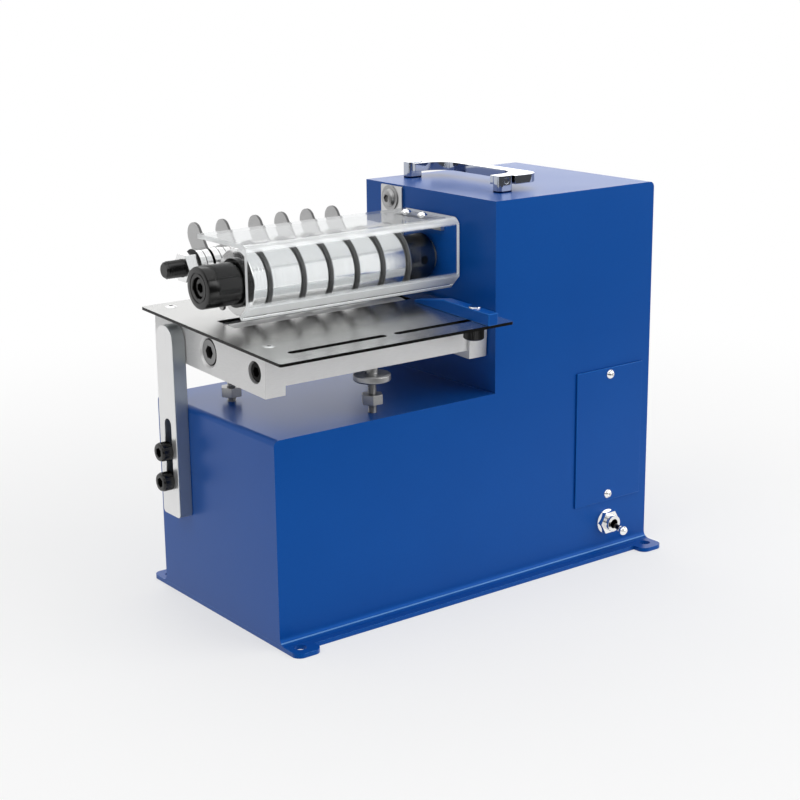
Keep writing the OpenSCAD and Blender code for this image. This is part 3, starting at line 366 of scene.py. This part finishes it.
def axle_steel():
    """Axle end, with a painted shadow in black round its rim."""
    look = metal("axle_steel", shades=(0.2, 0.3), rough=(0.3, 0.42), grain=0.8 * MM, depth=0.01 * MM)
    rim_r = half_height("anvil_axle") - 0.7 * MM
    # Painted shadow: black beyond the rim radius
    look.change_where(look.beyond(middle("anvil_axle"), ACROSS_X, rim_r), grey(0.005))
    return look


def lever_chrome():
    """Toggle lever with a bright ball on a stem darkened as a painted dark reflection."""
    look = metal("lever_chrome", shades=(0.84, 0.9), rough=(0.03, 0.08), grain=6 * MM, depth=0.003 * MM)
    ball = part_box("toggle_lever")[0] + Vector((3.5, 3.5, 3.5)) * MM
    # Painted dark reflection: dark grey on the stem, away from the ball
    look.change_where(look.beyond(ball, ALL_AXES, 3.7 * MM), grey(0.03))
    return look


def switch_shell():
    """Dark switch body with a plated bushing outside the wall; down its bore the plating is left out, as
    painted shade.
    """
    look = Look("switch_shell", {"Specular IOR Level": PLASTIC_GLOSS})
    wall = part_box("housing")[0].y - 0.1 * MM
    bore_r = 3.5 * MM
    outside = look.joined(look.part(look.place, Y), wall, "LESS_THAN")
    # Painted shade: the bore of the bushing keeps the dark plastic
    plated = look.joined(outside, look.beyond(middle("switch_nut"), ACROSS_Y, bore_r), "MULTIPLY")
    look.colour(look.ranged(look.noise(10 * MM, 3), 0, 1), grey(0.006), grey(0.012))
    look.change_where(plated, grey(0.8))
    look.set("Metallic", plated)
    look.set("Roughness", look.ranged(look.noise(4 * MM, 3), 0.16, 0.26))
    return look


def plastic(name, shades, rough, grain):
    look = Look(name, {"Specular IOR Level": PLASTIC_GLOSS})
    dark, light = shades
    look.colour(look.ranged(look.noise(10 * MM, 3), 0, 1), grey(dark), grey(light))
    look.set("Roughness", look.ranged(look.noise(4 * MM, 3), *rough))
    look.bump((look.noise(grain, 2), 0.03 * MM))
    return look


# Height of the guard's lip, and the whiteness of its painted highlight bands at places up that height
LIP_H = 12 * MM
LIP_HIGHLIGHT = ((0.0, 0.85), (0.12, 0.85), (0.15, 0.0), (0.24, 0.0), (0.28, 0.9), (0.7, 0.8), (0.95, 0.0))
END_FROST = 0.8
# Whiteness of the painted highlight where the sheet bends
BEND_HIGHLIGHT = 0.5
# How much the upward faces are whitened
TOP_WHITENING = (0.12, 0.24)
FROST_AND_HIGHLIGHT_ROUGH = 0.45


def clear_acrylic():
    """Clear sheet with a glossy skin, tinted where it is seen edge on and whitened a little on top.
    It is frosted on its sawn ends, and has painted highlights where it bends and in bands along its lip."""
    look = Look("clear_acrylic", {"IOR": 1.02, "Coat Weight": 0.2, "Coat IOR": 1.5, "Coat Roughness": 0.02})
    slope = look.add("ShaderNodeLayerWeight", {"Blend": 0.5}).outputs["Facing"]
    edge_on = look.spread(slope, (0.55, 0.85), (0, 1))
    look.colour(edge_on, (0.95, 0.965, 0.97, 1), (0.6, 0.61, 0.615, 1))

    height = look.part(look.place, Z)
    lip_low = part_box("guard")[0].z
    lip_top = lip_low + LIP_H
    upper = look.joined(height, lip_top, "GREATER_THAN")
    # Painted highlight bands up the lip
    ramp = look.add("ShaderNodeValToRGB", {0: look.spread(height, (lip_low, lip_top), (0, 1))})
    stops = ramp.color_ramp.elements
    for place, level in LIP_HIGHLIGHT:
        stop = stops.new(place) if place > 0 else stops[0]
        stop.color = grey(level)
    stops.remove(stops[-1])
    lip = look.joined(ramp.outputs[0], look.joined(1.0, upper, "SUBTRACT"), "MULTIPLY")

    # Painted highlight where the sheet bends
    slant = look.joined(look.part(look.normal, Y), look.part(look.normal, Z), "MULTIPLY")
    bend = look.spread(look.unsigned(slant), (0.12, 0.42), (0.0, BEND_HIGHLIGHT))
    bend = look.joined(bend, upper, "MULTIPLY")
    # Upward faces whitened a little, in streaks along X
    top_whitening = look.ranged(look.noise(20 * MM, 2, (8, 1, 1)), *TOP_WHITENING)
    top_whitening = look.joined(top_whitening, look.facing(Z, 0.8), "MULTIPLY")
    frost_and_highlight = look.joined(look.facing(X, 0.6), END_FROST, "MULTIPLY")
    # Frost on the sawn ends, joined with the painted highlights and the whitening on top
    for layer in (bend, top_whitening, lip):
        frost_and_highlight = look.joined(frost_and_highlight, layer, "MAXIMUM")

    smear = look.ranged(look.noise(60 * MM, 1), 0.0, 0.02)
    look.set("Roughness", look.joined(look.joined(frost_and_highlight, FROST_AND_HIGHLIGHT_ROUGH, "MULTIPLY"), smear, "ADD"))
    look.set("Transmission Weight", look.joined(1.0, frost_and_highlight, "SUBTRACT"))
    look.bump((look.noise(80 * MM, 1), 0.02 * MM))
    return look


LOOKS = {look.name: look.material for look in (
    blue_paint("blue_paint", deep=(0.003, 0.066, 0.305, 1), light=(0.004, 0.077, 0.34, 1)),
    # Two lighter blues for rounded edges: painted highlights
    blue_paint("blue_rim_highlight", deep=(0.01, 0.11, 0.4, 1), light=(0.014, 0.13, 0.44, 1)),
    blue_paint("blue_edge_highlight", deep=(0.13, 0.31, 0.62, 1), light=(0.17, 0.36, 0.68, 1)),
    black_oxide("black_oxide", gloss=0.45, rough=(0.13, 0.19)),
    black_oxide("matt_black", gloss=0.1, rough=(0.5, 0.6)),
    plastic("dark_plastic", shades=(0.012, 0.02), rough=(0.35, 0.5), grain=0.6 * MM),
    plastic("motor_paint", shades=(0.02, 0.035), rough=(0.4, 0.55), grain=1.2 * MM),
    metal("chrome", shades=(0.84, 0.9), rough=(0.03, 0.08), grain=6 * MM, depth=0.003 * MM),
    metal(
        "machined_steel", shades=(0.68, 0.78), rough=(0.36, 0.48), grain=0.7 * MM, depth=0.006 * MM,
        streak=(6, 6, 1), bare=0.35),
    metal("bright_steel", shades=(0.74, 0.86), rough=(0.14, 0.22), grain=0.8 * MM, depth=0.005 * MM),
    metal("dull_steel", shades=(0.32, 0.44), rough=(0.3, 0.42), grain=0.8 * MM, depth=0.01 * MM),
    metal("dark_steel", shades=(0.1, 0.18), rough=(0.16, 0.26), grain=0.8 * MM, depth=0.006 * MM),
    metal(
        "anvil_steel", shades=(0.8, 0.88), rough=(0.3, 0.4), grain=0.8 * MM, depth=0.004 * MM,
        streak=(1, 6, 6), bare=0.15),
    metal(
        "sheet_steel", shades=(0.55, 0.65), rough=(0.28, 0.4), grain=0.8 * MM, depth=0.01 * MM,
        streak=(1, 1, 8)),
    metal("plain_aluminium", shades=(0.5, 0.62), rough=(0.45, 0.6), grain=1.5 * MM, depth=0.06 * MM),
    metal(
        "bronze", shades=(0.55, 0.75), rough=(0.3, 0.5), grain=0.8 * MM, depth=0.02 * MM,
        tint=(1, 0.72, 0.38)),
    handle_chrome(),
    lever_chrome(),
    switch_shell(),
    drawn_steel(),
    ring_steel(),
    axle_steel(),
    blade_steel(),
    stainless(),
    cut_sheet(),
    turned_aluminium(),
    clear_acrylic(),
)}


# CAD nodes: finish, softened edges and smooth shading

def smoothing_group():
    """Geometry nodes that shade smooth across shallow edges only."""
    group = bpy.data.node_groups.new("smooth_by_angle", "GeometryNodeTree")
    group.interface.new_socket("Geometry", in_out="INPUT", socket_type="NodeSocketGeometry")
    group.interface.new_socket("Geometry", in_out="OUTPUT", socket_type="NodeSocketGeometry")
    start = group.nodes.new("NodeGroupInput")
    end = group.nodes.new("NodeGroupOutput")
    faces = group.nodes.new("GeometryNodeSetShadeSmooth")
    edges = group.nodes.new("GeometryNodeSetShadeSmooth")
    edges.domain = "EDGE"
    edges.inputs["Shade Smooth"].default_value = False
    angle = group.nodes.new("GeometryNodeInputMeshEdgeAngle")
    steep = group.nodes.new("FunctionNodeCompare")
    steep.inputs["B"].default_value = SHARP_ANGLE
    links = group.links
    links.new(start.outputs[0], faces.inputs["Geometry"])
    links.new(faces.outputs[0], edges.inputs["Geometry"])
    links.new(angle.outputs["Unsigned Angle"], steep.inputs["A"])
    links.new(steep.outputs[0], edges.inputs["Selection"])
    links.new(edges.outputs[0], end.inputs[0])
    return group


SMOOTHING = smoothing_group()
NO_BEVEL = (0, 1)
USUAL_BEVEL = (0.3, 2)
# Edge rounding in mm and its steps, where it isn't the usual one
BEVELS = {
    "handle_lugs": (1.0, 3),
    "handle_bail": (2.0, 5),
    "support_bar": (0.8, 3),
    "left_end_plate": (0.45, 2),
    "right_end_plate": (0.45, 2),
    "shaft_collar": (0.5, 3),
    "rod_spacers": NO_BEVEL,
    "blade_gear": NO_BEVEL,
    "motor_pinion": NO_BEVEL,
    "button_screws": (0.15, 2),
    "table_screws": (0.12, 2),
    "guard": (0.35, 2),
}
FINGER_COUNT = 6
# Looks that aren't the usual one of the slot, and the nodes that have them
SPECIAL_LOOKS = {
    "cut_sheet": [f"finger_{number + 1}" for number in range(FINGER_COUNT)],
    "bright_steel": ["rod_nuts", "table_screws"],
    "dull_steel": ["bracket_bolt", "thumb_wheel", "jack_nuts"],
    "dark_steel": ["shaft_collar"],
    "drawn_steel": ["support_bar"],
    "anvil_steel": ["anvil_roller"],
    "axle_steel": ["anvil_axle"],
    "ring_steel": ["rod_spacers"],
    "matt_black": ["frame_screws"],
    "handle_chrome": ["handle_lugs", "handle_bail"],
    "lever_chrome": ["toggle_lever"],
    "switch_shell": ["switch_body"],
}
LOOK_OF_NODE = {name: look for look, names in SPECIAL_LOOKS.items() for name in names}


def shade_smooth(thing):
    """Smooth shading across shallow edges, with flat faces kept flat."""
    smooth = thing.modifiers.new("smooth", "NODES")
    smooth.node_group = SMOOTHING
    weighted = thing.modifiers.new("weighted", "WEIGHTED_NORMAL")
    weighted.keep_sharp = True


def dress(name, slot):
    """Gives a node its look, and rounds and smooths its edges with modifiers."""
    node = NODES[name]
    material = LOOKS[LOOK_OF_NODE.get(name, slot)]
    for place in node.material_slots:
        place.material = material
    weld = node.modifiers.new("weld", "WELD")
    weld.merge_threshold = WELD_GAP
    flatten = node.modifiers.new("flatten", "DECIMATE")
    flatten.decimate_type = "DISSOLVE"
    flatten.angle_limit = FLAT_ANGLE
    width, steps = BEVELS.get(name, USUAL_BEVEL)
    if width > 0:
        bevel = node.modifiers.new("bevel", "BEVEL")
        bevel.width = width * MM
        bevel.segments = steps
        bevel.limit_method = "ANGLE"
        bevel.angle_limit = SHARP_ANGLE
        bevel.miter_outer = "MITER_ARC"
        bevel.use_clamp_overlap = True
    shade_smooth(node)


for part in frame["record"]["subparts"]:
    dress(part["node"], part["material_slot"])
# Clear sheet casts next to no shadow
NODES["guard"].visible_shadow = False


# Pieces built here

ROD_SEGMENTS = 36
SCREW_SEGMENTS = 48
KNURL_SEGMENTS = 72
TURNED_SEGMENTS = 96
THREAD_DEPTH = 0.58
# Slope of a thread's flanks, above 1 so that its root is flat
THREAD_SLOPE = 1.3
STEPS_PER_TURN = 6
M6_PITCH = 1.0 * MM
M12_PITCH = 1.75 * MM
M8_RADIUS = 4 * MM
M8_HEAD_H = 8 * MM
M8_SOCKET = 6 * MM


def add_piece(name, data, body, nodes):
    """An object of that mesh, riding on its body in place of the CAD nodes."""
    piece = bpy.data.objects.new(name, data)
    bpy.context.scene.collection.objects.link(piece)
    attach(piece, body)
    if nodes:
        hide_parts(*nodes)
    return piece


class Shape:
    """Mesh under construction from rings of points about straight axes, and from bars."""

    def __init__(self):
        self.mesh = bmesh.new()

    def rings(self, origin, direction, stations, segments, loop=False):
        """Skin over (distance along, radius) stations; a radius may be a function of the angle.
        A loop is a closed profile round a bore, otherwise both ends get caps."""
        turn = Z_AXIS.rotation_difference(Vector(direction)).to_matrix().to_4x4()
        place = Matrix.Translation(Vector(origin)) @ turn
        rows = []
        for along, radius in stations:
            row = []
            for step in range(segments):
                angle = 2 * math.pi * step / segments
                reach = radius(angle) if callable(radius) else radius
                point = Vector((reach * math.cos(angle), reach * math.sin(angle), along))
                row.append(self.mesh.verts.new(place @ point))
            rows.append(row)
        pairs = list(zip(rows, rows[1:]))
        if loop:
            pairs.append((rows[-1], rows[0]))
        for lower, upper in pairs:
            self.skin(lower, upper)
        if not loop:
            self.mesh.faces.new(rows[0])
            self.mesh.faces.new(rows[-1])

    def prism(self, start, end, profile):
        """Bar along X from start to end, with a profile of (y, z) points."""
        rows = [[self.mesh.verts.new((along, y, z)) for y, z in profile] for along in (start, end)]
        self.skin(*rows)
        for row in rows:
            self.mesh.faces.new(row)

    def skin(self, lower, upper):
        """Faces between two closed rows of points."""
        for step in range(len(lower)):
            after = (step + 1) % len(lower)
            self.mesh.faces.new((lower[step], lower[after], upper[after], upper[step]))

    def finish(self, name, slot, body, *nodes, look=None):
        """The piece; its look is the slot's own unless one is given."""
        bmesh.ops.recalc_face_normals(self.mesh, faces=self.mesh.faces)
        data = bpy.data.meshes.new(name)
        self.mesh.to_mesh(data)
        self.mesh.free()
        data.shade_smooth()
        data.set_sharp_from_angle(angle=SHARP_ANGLE)
        data.materials.append(LOOKS[look or slot])
        return add_piece(name, data, body, nodes)


def welded(name):
    """A node's mesh with its shared points joined."""
    mesh = bmesh.new()
    mesh.from_mesh(NODES[name].data)
    bmesh.ops.remove_doubles(mesh, verts=mesh.verts, dist=WELD_GAP)
    return mesh


def islands(name):
    """Boxes of a node's separate solids, lowest corners first."""
    source = welded(name)
    seen = set()
    boxes = []
    for first in source.verts:
        if first in seen:
            continue
        seen.add(first)
        waiting = [first]
        points = []
        while waiting:
            vert = waiting.pop()
            points.append(vert.co.copy())
            for edge in vert.link_edges:
                other = edge.other_vert(vert)
                if other not in seen:
                    seen.add(other)
                    waiting.append(other)
        low = Vector(min(point[axis] for point in points) for axis in (X, Y, Z))
        high = Vector(max(point[axis] for point in points) for axis in (X, Y, Z))
        boxes.append((low, high))
    source.free()
    return sorted(boxes, key=lambda box: tuple(round(value, 5) for value in box[0]))


def threaded_bar(shape, origin, direction, length, radius, pitch, zones, chamfer):
    """Round bar with a screw thread over each zone, given as distances along it."""
    stations = {0.0, chamfer, length - chamfer, length}
    for start, end in zones:
        count = round((end - start) / pitch * STEPS_PER_TURN)
        stations.update(start + (end - start) * step / count for step in range(count + 1))

    def radius_at(along):
        threaded = any(start <= along <= end for start, end in zones)
        limit = radius - chamfer + min(along, length - along)

        def reach(angle):
            phase = (along / pitch - angle / (2 * math.pi)) % 1
            flank = min(1, THREAD_SLOPE * (1 - abs(2 * phase - 1)))
            dip = THREAD_DEPTH * pitch * flank if threaded else 0
            return min(radius - dip, limit)
        return reach

    shape.rings(origin, direction, [(along, radius_at(along)) for along in sorted(stations)], ROD_SEGMENTS)


def hexagon(across_flats):
    """Radius of a hexagon as a function of the angle."""
    def reach(angle):
        return across_flats / 2 / math.cos(angle % (math.pi / 3) - math.pi / 6)
    return reach


def knurled(radius, depth):
    """Radius of a straight knurl with one rib for each two segments."""
    def reach(angle):
        rib = round(angle * KNURL_SEGMENTS / (2 * math.pi)) % 2
        return radius - depth * rib
    return reach


def cap_screw(shape, seat, outward, head_r, head_h, shank_l):
    """M8 socket head screw with a knurled head; seat is the point under its head."""
    tip = 0.6 * MM
    rim = 0.35 * MM
    socket_depth = 0.55 * head_h
    ribbed = knurled(head_r, 0.22 * MM)
    socket = hexagon(M8_SOCKET)
    shape.rings(seat, outward, [
        (-shank_l, M8_RADIUS - tip),
        (-shank_l + tip, M8_RADIUS),
        (0, M8_RADIUS),
        (0, head_r - 0.4 * MM),
        (0.3 * MM, ribbed),
        (head_h - 1.5 * MM, ribbed),
        (head_h - 1.4 * MM, head_r - 0.25 * MM),
        (head_h - 0.7 * MM, head_r - 0.35 * MM),
        (head_h - 0.15 * MM, head_r - 0.8 * MM),
        (head_h, head_r - 1.3 * MM),
        (head_h, lambda angle: socket(angle) + rim),
        (head_h - rim, socket),
        (head_h - socket_depth, socket),
    ], KNURL_SEGMENTS)


def make_stripper_rod():
    """Rod with a thread from each end to just past its nuts there."""
    low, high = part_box("stripper_rod")
    centre = (low + high) / 2
    nuts = islands("rod_nuts")
    length = high.x - low.x
    run_out = MM
    chamfer = 1.4 * MM
    zones = [
        (0.0, nuts[0][1].x - low.x + run_out),
        (nuts[1][0].x - low.x - run_out, length),
    ]
    shape = Shape()
    threaded_bar(
        shape, (low.x, centre.y, centre.z), X_AXIS, length, (high.z - low.z) / 2, M12_PITCH, zones, chamfer)
    shape.finish("stripper_rod_threaded", "black_oxide", "frame", "stripper_rod")


def make_jack_studs():
    """Studs threaded over their whole length."""
    chamfer = 0.6 * MM
    shape = Shape()
    for low, high in islands("jack_studs"):
        centre = (low + high) / 2
        length = high.z - low.z
        threaded_bar(
            shape, (centre.x, centre.y, low.z), Z_AXIS, length, (high.x - low.x) / 2, M6_PITCH,
            [(0.0, length)], chamfer)
    shape.finish("jack_studs_threaded", "machined_steel", "frame", "jack_studs", look="dull_steel")


def make_bar_screws():
    """Two cap screws through the slot of the support bar."""
    bar_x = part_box("support_bar")[0].x
    shape = Shape()
    for low, high in islands("bar_screws"):
        centre = (low + high) / 2
        seat = (bar_x, centre.y, centre.z)
        cap_screw(shape, seat, -X_AXIS, (high.z - low.z) / 2, bar_x - low.x, high.x - bar_x)
    shape.finish("bar_cap_screws", "black_oxide", "frame", "bar_screws")


def make_end_cap():
    """Turned cap with a ring groove round its counterbore."""
    low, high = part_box("end_cap")
    shaft_r = SHAFT_R + 0.05 * MM
    outer = (high.z - low.z) / 2
    length = high.x - low.x
    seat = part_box("end_cap_screw")[0].x - low.x + M8_HEAD_H
    shaft_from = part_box("blade_shaft")[0].x - low.x
    bore = 6.9 * MM
    bore_edge = 0.4 * MM
    screw_bore = M8_RADIUS + 0.05 * MM
    groove_in = 9.2 * MM
    groove_out = 10.0 * MM
    groove_depth = 0.5 * MM
    groove_taper = 0.15 * MM
    back_edge = 0.5 * MM
    shape = Shape()
    shape.rings((low.x, SHAFT.y, SHAFT.z), X_AXIS, [
        (bore_edge, bore),
        (0, bore + bore_edge),
        (0, groove_in),
        (groove_depth, groove_in + groove_taper),
        (groove_depth, groove_out - groove_taper),
        (0, groove_out),
        (0, outer - 1.0 * MM),
        (0.3 * MM, outer - 0.3 * MM),
        (1.0 * MM, outer),
        (length - back_edge, outer),
        (length, outer - back_edge),
        (length, shaft_r),
        (shaft_from, shaft_r),
        (shaft_from, screw_bore),
        (seat, screw_bore),
        (seat, bore),
    ], TURNED_SEGMENTS, loop=True)
    shape.finish("end_cap_turned", "black_oxide", "blades", "end_cap")


def make_end_cap_screw():
    """Cap screw in the counterbore of the end cap."""
    low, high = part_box("end_cap_screw")
    seat_x = low.x + M8_HEAD_H
    shape = Shape()
    cap_screw(shape, (seat_x, SHAFT.y, SHAFT.z), -X_AXIS, (high.z - low.z) / 2, M8_HEAD_H, high.x - seat_x)
    shape.finish("end_cap_socket_screw", "black_oxide", "blades", "end_cap_screw")


def make_blade_spacers():
    """Turned spacers; the first two are stacks of shims with a fine groove at each joint."""
    bore = SHAFT_R + 0.1 * MM
    edge = 0.35 * MM
    shim_stacks = 2
    shim_t = 2.9 * MM
    nick = 0.14 * MM
    nick_half = 0.16 * MM
    shape = Shape()
    for number, (low, high) in enumerate(islands("blade_spacers")):
        length = high.x - low.x
        outer = (high.z - low.z) / 2
        profile = [(0, bore), (0, outer - edge), (edge, outer)]
        shims = max(1, round(length / shim_t)) if number < shim_stacks else 1
        for joint in range(1, shims):
            along = length * joint / shims
            profile += [(along - nick_half, outer), (along, outer - nick), (along + nick_half, outer)]
        profile += [(length - edge, outer), (length, outer - edge), (length, bore)]
        shape.rings((low.x, SHAFT.y, SHAFT.z), X_AXIS, profile, TURNED_SEGMENTS, loop=True)
    shape.finish("blade_spacers_turned", "turned_aluminium", "blades", "blade_spacers")


def make_collar_screw():
    """Set screw low in its hole in the shaft collar."""
    low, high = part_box("shaft_collar")
    outward = Vector((0, -1, 0))
    socket = hexagon(3 * MM)
    radius = 2.9 * MM
    edge = 0.3 * MM
    screw_l = 3.5 * MM
    socket_depth = 1.8 * MM
    hole_x = (low.x + high.x) / 2 + 3 * MM
    top_y = SHAFT.y - (high.z - low.z) / 2 + 1.6 * MM
    shape = Shape()
    shape.rings((hole_x, top_y, SHAFT.z), outward, [
        (-screw_l, radius), (-edge, radius), (0, radius - edge), (0, socket), (-socket_depth, socket),
    ], ROD_SEGMENTS)
    shape.finish("collar_set_screw", "black_oxide", "blades")


def make_fence_clamp():
    """Clamp screw of the fence in chrome, with a black knurled thumb nut below the plate."""
    low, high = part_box("fence_screw")
    upward = Vector((0, -math.sin(TABLE_TILT), math.cos(TABLE_TILT)))
    nut_r = (high.x - low.x) / 2
    nut_t = 11 * MM
    nut_edge = 0.8 * MM
    nut_face_r = nut_r - 0.9 * MM
    stud_r = 2 * MM
    stud_from = nut_t - 2 * MM
    head_r = 4 * MM
    head_h = MM
    foot = Vector(((low.x + high.x) / 2, (low.y + high.y) / 2, low.z + nut_r * math.sin(TABLE_TILT)))
    length = (high.z - low.z - (nut_r + head_r) * math.sin(TABLE_TILT)) / math.cos(TABLE_TILT)
    head = Shape()
    head.rings(foot, upward, [
        (stud_from, stud_r),
        (length - head_h, stud_r),
        (length - head_h, head_r),
        (length - 0.5 * MM, head_r),
        (length - 0.1 * MM, head_r - 0.3 * MM),
        (length, head_r - 0.9 * MM),
    ], SCREW_SEGMENTS)
    head.finish("fence_clamp_screw", "chrome", "fence_bar", "fence_screw")
    ribbed = knurled(nut_r, 0.35 * MM)
    nut = Shape()
    nut.rings(foot, upward, [
        (0, stud_r),
        (0, nut_face_r),
        (nut_edge, ribbed),
        (nut_t - nut_edge, ribbed),
        (nut_t, nut_face_r),
        (nut_t, stud_r),
    ], KNURL_SEGMENTS, loop=True)
    nut.finish("fence_thumb_nut", "black_oxide", "fence_bar")


def make_painted(name, body, width, least, edge_highlight_look):
    """A painted node again, with its edges longer than least rounded, and the rounding in a lighter edge
    look as a painted highlight.
    """
    mesh = welded(name)
    bmesh.ops.dissolve_limit(mesh, angle_limit=FLAT_ANGLE, verts=mesh.verts, edges=mesh.edges)
    edges = [
        edge for edge in mesh.edges
        if edge.is_manifold and edge.calc_face_angle() > SHARP_ANGLE and edge.calc_length() > least
    ]
    # The rounding takes material 1, a lighter blue that is a painted highlight
    bmesh.ops.bevel(
        mesh, geom=edges, offset=width, offset_type="OFFSET", segments=3, profile=0.5, affect="EDGES",
        clamp_overlap=True, material=1)
    data = bpy.data.meshes.new(name + "_painted")
    mesh.to_mesh(data)
    mesh.free()
    for look in ("blue_paint", edge_highlight_look):
        data.materials.append(LOOKS[look])
    piece = add_piece(name + "_painted", data, body, [name])
    shade_smooth(piece)


def make_base_fillets():
    """Rounded corners where the front and back walls meet the ledge, with a painted highlight along their
    middle.
    """
    low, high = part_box("housing")
    ledge_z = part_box("base_plate")[1].z
    radius = 5 * MM
    sunk = 0.1 * MM
    steps = 9
    least_slant = 0.6
    shape = Shape()
    for side, wall in ((-1, low.y), (1, high.y)):
        profile = [(wall - side * sunk, ledge_z - sunk)]
        for step in range(steps + 1):
            angle = math.pi / 2 * step / steps
            out = radius * (1 - math.cos(angle))
            up = radius * (1 - math.sin(angle))
            profile.append((wall + side * out, ledge_z + up))
        shape.prism(low.x, high.x, profile)
    piece = shape.finish("base_fillets", "blue_paint", "frame")
    # Painted highlight: the slanted middle faces of the rounding take the lighter blue
    piece.data.materials.append(LOOKS["blue_edge_highlight"])
    for face in piece.data.polygons:
        slanted = min(abs(face.normal.y), abs(face.normal.z)) > least_slant
        face.material_index = 1 if slanted else 0


make_base_fillets()
make_painted("housing", "frame", width=1.2 * MM, least=12 * MM, edge_highlight_look="blue_edge_highlight")
make_painted("base_plate", "frame", width=1.2 * MM, least=8 * MM, edge_highlight_look="blue_edge_highlight")
make_painted("access_cover", "frame", width=0.4 * MM, least=12 * MM, edge_highlight_look="blue_rim_highlight")
make_painted("fence", "fence_bar", width=0.5 * MM, least=4 * MM, edge_highlight_look="blue_rim_highlight")
make_stripper_rod()
make_jack_studs()
make_bar_screws()
make_end_cap()
make_end_cap_screw()
make_blade_spacers()
make_collar_screw()
make_fence_clamp()


# Floor, light and camera

WHITE = (1, 1, 1, 1)
AMBIENT = 0.13
# The room that gloss sees: how dark it gets, and where it turns from dark to light
DARK_ROOM = 0.1
DARK_CEILING = 0.08
BACKDROP_WAY = (0.61, 0.79, 0.0)
SIDE_TURN = (-0.2, 0.3)
WALL_TURN = (0.05, 0.4)
CEILING_TURN = (0.45, 0.75)

FLOOR_RADIUS = 3.0
FLOOR_DROP = 0.2 * MM
FLOOR_FADE = (0.25, 0.85)
FLOOR_LIFT = 0.55
FLOOR_TURN = (-0.75, -0.2)
FLOOR_MIRRORED = 0.12

OBJECT_MIDDLE = (0, 0, 0.13)
ROOF_MIDDLE = (0.06, 0, 0.27)
CAMERA_PLACE = (-0.695442, -0.907456, 0.434695)
CAMERA_TURN = (1.3039, 0.0101, -0.6495)
LENS_MM = 75.184
SENSOR_MM = 36.0


def make_world():
    """White all round for the camera. Gloss sees it too, but darker overhead, where the top lamp hangs,
    and low down on the side away from the backdrop."""
    world = bpy.data.worlds.new("studio")
    bpy.context.scene.world = world
    world.use_nodes = True
    tree = Tree(world.node_tree)
    way = tree.add("ShaderNodeTexCoord").outputs["Generated"]
    turned = tree.add("ShaderNodeVectorMath", {0: way, 1: BACKDROP_WAY}, operation="DOT_PRODUCT")
    height = tree.part(way, Z)
    side = tree.ramp(turned.outputs["Value"], SIDE_TURN, (DARK_ROOM, 1.0))
    wall = tree.joined(side, tree.ramp(height, WALL_TURN, (0.0, 1.0)), "MAXIMUM")
    ceiling = tree.ramp(height, CEILING_TURN, (1.0, DARK_CEILING))
    room = tree.joined(wall, ceiling, "MULTIPLY")
    mirrored = tree.between(tree.ray("Glossy"), AMBIENT, room)
    strength = tree.between(tree.seen(), mirrored, 1.0)
    background = world.node_tree.nodes["Background"]
    background.inputs["Color"].default_value = WHITE
    world.node_tree.links.new(strength, background.inputs["Strength"])


def make_floor():
    """Pale floor that keeps the shadow near the object and turns to plain white further out.
    In gloss it dims towards the front instead."""
    look = Look("floor", {"Roughness": 0.9, "Specular IOR Level": 0.1})
    look.colour(look.ranged(look.noise(0.3, 3), 0, 1), grey(0.86), grey(0.89))
    fade = look.ramp(look.length(look.place), FLOOR_FADE, (FLOOR_LIFT, 1.0))
    lift = look.joined(look.joined(fade, look.seen(), "MULTIPLY"), look.ray("Glossy"), "MAXIMUM")
    dimmed = look.ramp(look.part(look.place, Y), FLOOR_TURN, (FLOOR_MIRRORED, 1.0))
    strength = look.between(look.seen(), dimmed, 1.0)
    glow = look.add("ShaderNodeEmission", {"Color": WHITE, "Strength": strength})
    mixed = look.add("ShaderNodeMixShader", {0: lift, 1: look.shader.outputs[0], 2: glow.outputs[0]})
    look.tree.links.new(mixed.outputs[0], look.tree.nodes["Material Output"].inputs["Surface"])
    disc = bmesh.new()
    bmesh.ops.create_circle(disc, cap_ends=True, radius=FLOOR_RADIUS, segments=TURNED_SEGMENTS)
    data = bpy.data.meshes.new("floor")
    disc.to_mesh(data)
    disc.free()
    data.materials.append(look.material)
    floor = bpy.data.objects.new("floor", data)
    floor.location.z = -FLOOR_DROP
    bpy.context.scene.collection.objects.link(floor)


def soft_box(name, place, aim, width, height, power):
    """A rectangular lamp at a place, turned towards its aim."""
    lamp = bpy.data.lights.new(name, "AREA")
    lamp.shape = "RECTANGLE"
    lamp.size = width
    lamp.size_y = height
    lamp.energy = power
    light = bpy.data.objects.new(name, lamp)
    light.location = place
    light.rotation_euler = (Vector(aim) - Vector(place)).to_track_quat("-Z", "Y").to_euler()
    light.visible_camera = False
    light.visible_transmission = False
    bpy.context.scene.collection.objects.link(light)


def make_camera():
    lens = bpy.data.cameras.new("camera")
    lens.lens = LENS_MM
    lens.sensor_width = SENSOR_MM
    camera = bpy.data.objects.new("camera", lens)
    camera.location = CAMERA_PLACE
    camera.rotation_euler = CAMERA_TURN
    bpy.context.scene.collection.objects.link(camera)
    bpy.context.scene.camera = camera


make_world()
make_floor()
soft_box("top", (-0.1, 0.1, 1.9), OBJECT_MIDDLE, width=3.2, height=3.2, power=38)
soft_box("front", (1.2, -1.5, 0.9), OBJECT_MIDDLE, width=2.4, height=1.6, power=24)
soft_box("left", (-1.7, -0.3, 1.3), OBJECT_MIDDLE, width=1.2, height=1.2, power=5)
soft_box("back", (0.6, 1.6, 2.0), OBJECT_MIDDLE, width=1.4, height=1.0, power=6)
soft_box("low_strip", (1.25, 1.55, 0.52), ROOF_MIDDLE, width=1.7, height=0.24, power=1.6)
make_camera()
bpy.context.scene.view_settings.view_transform = "Standard"
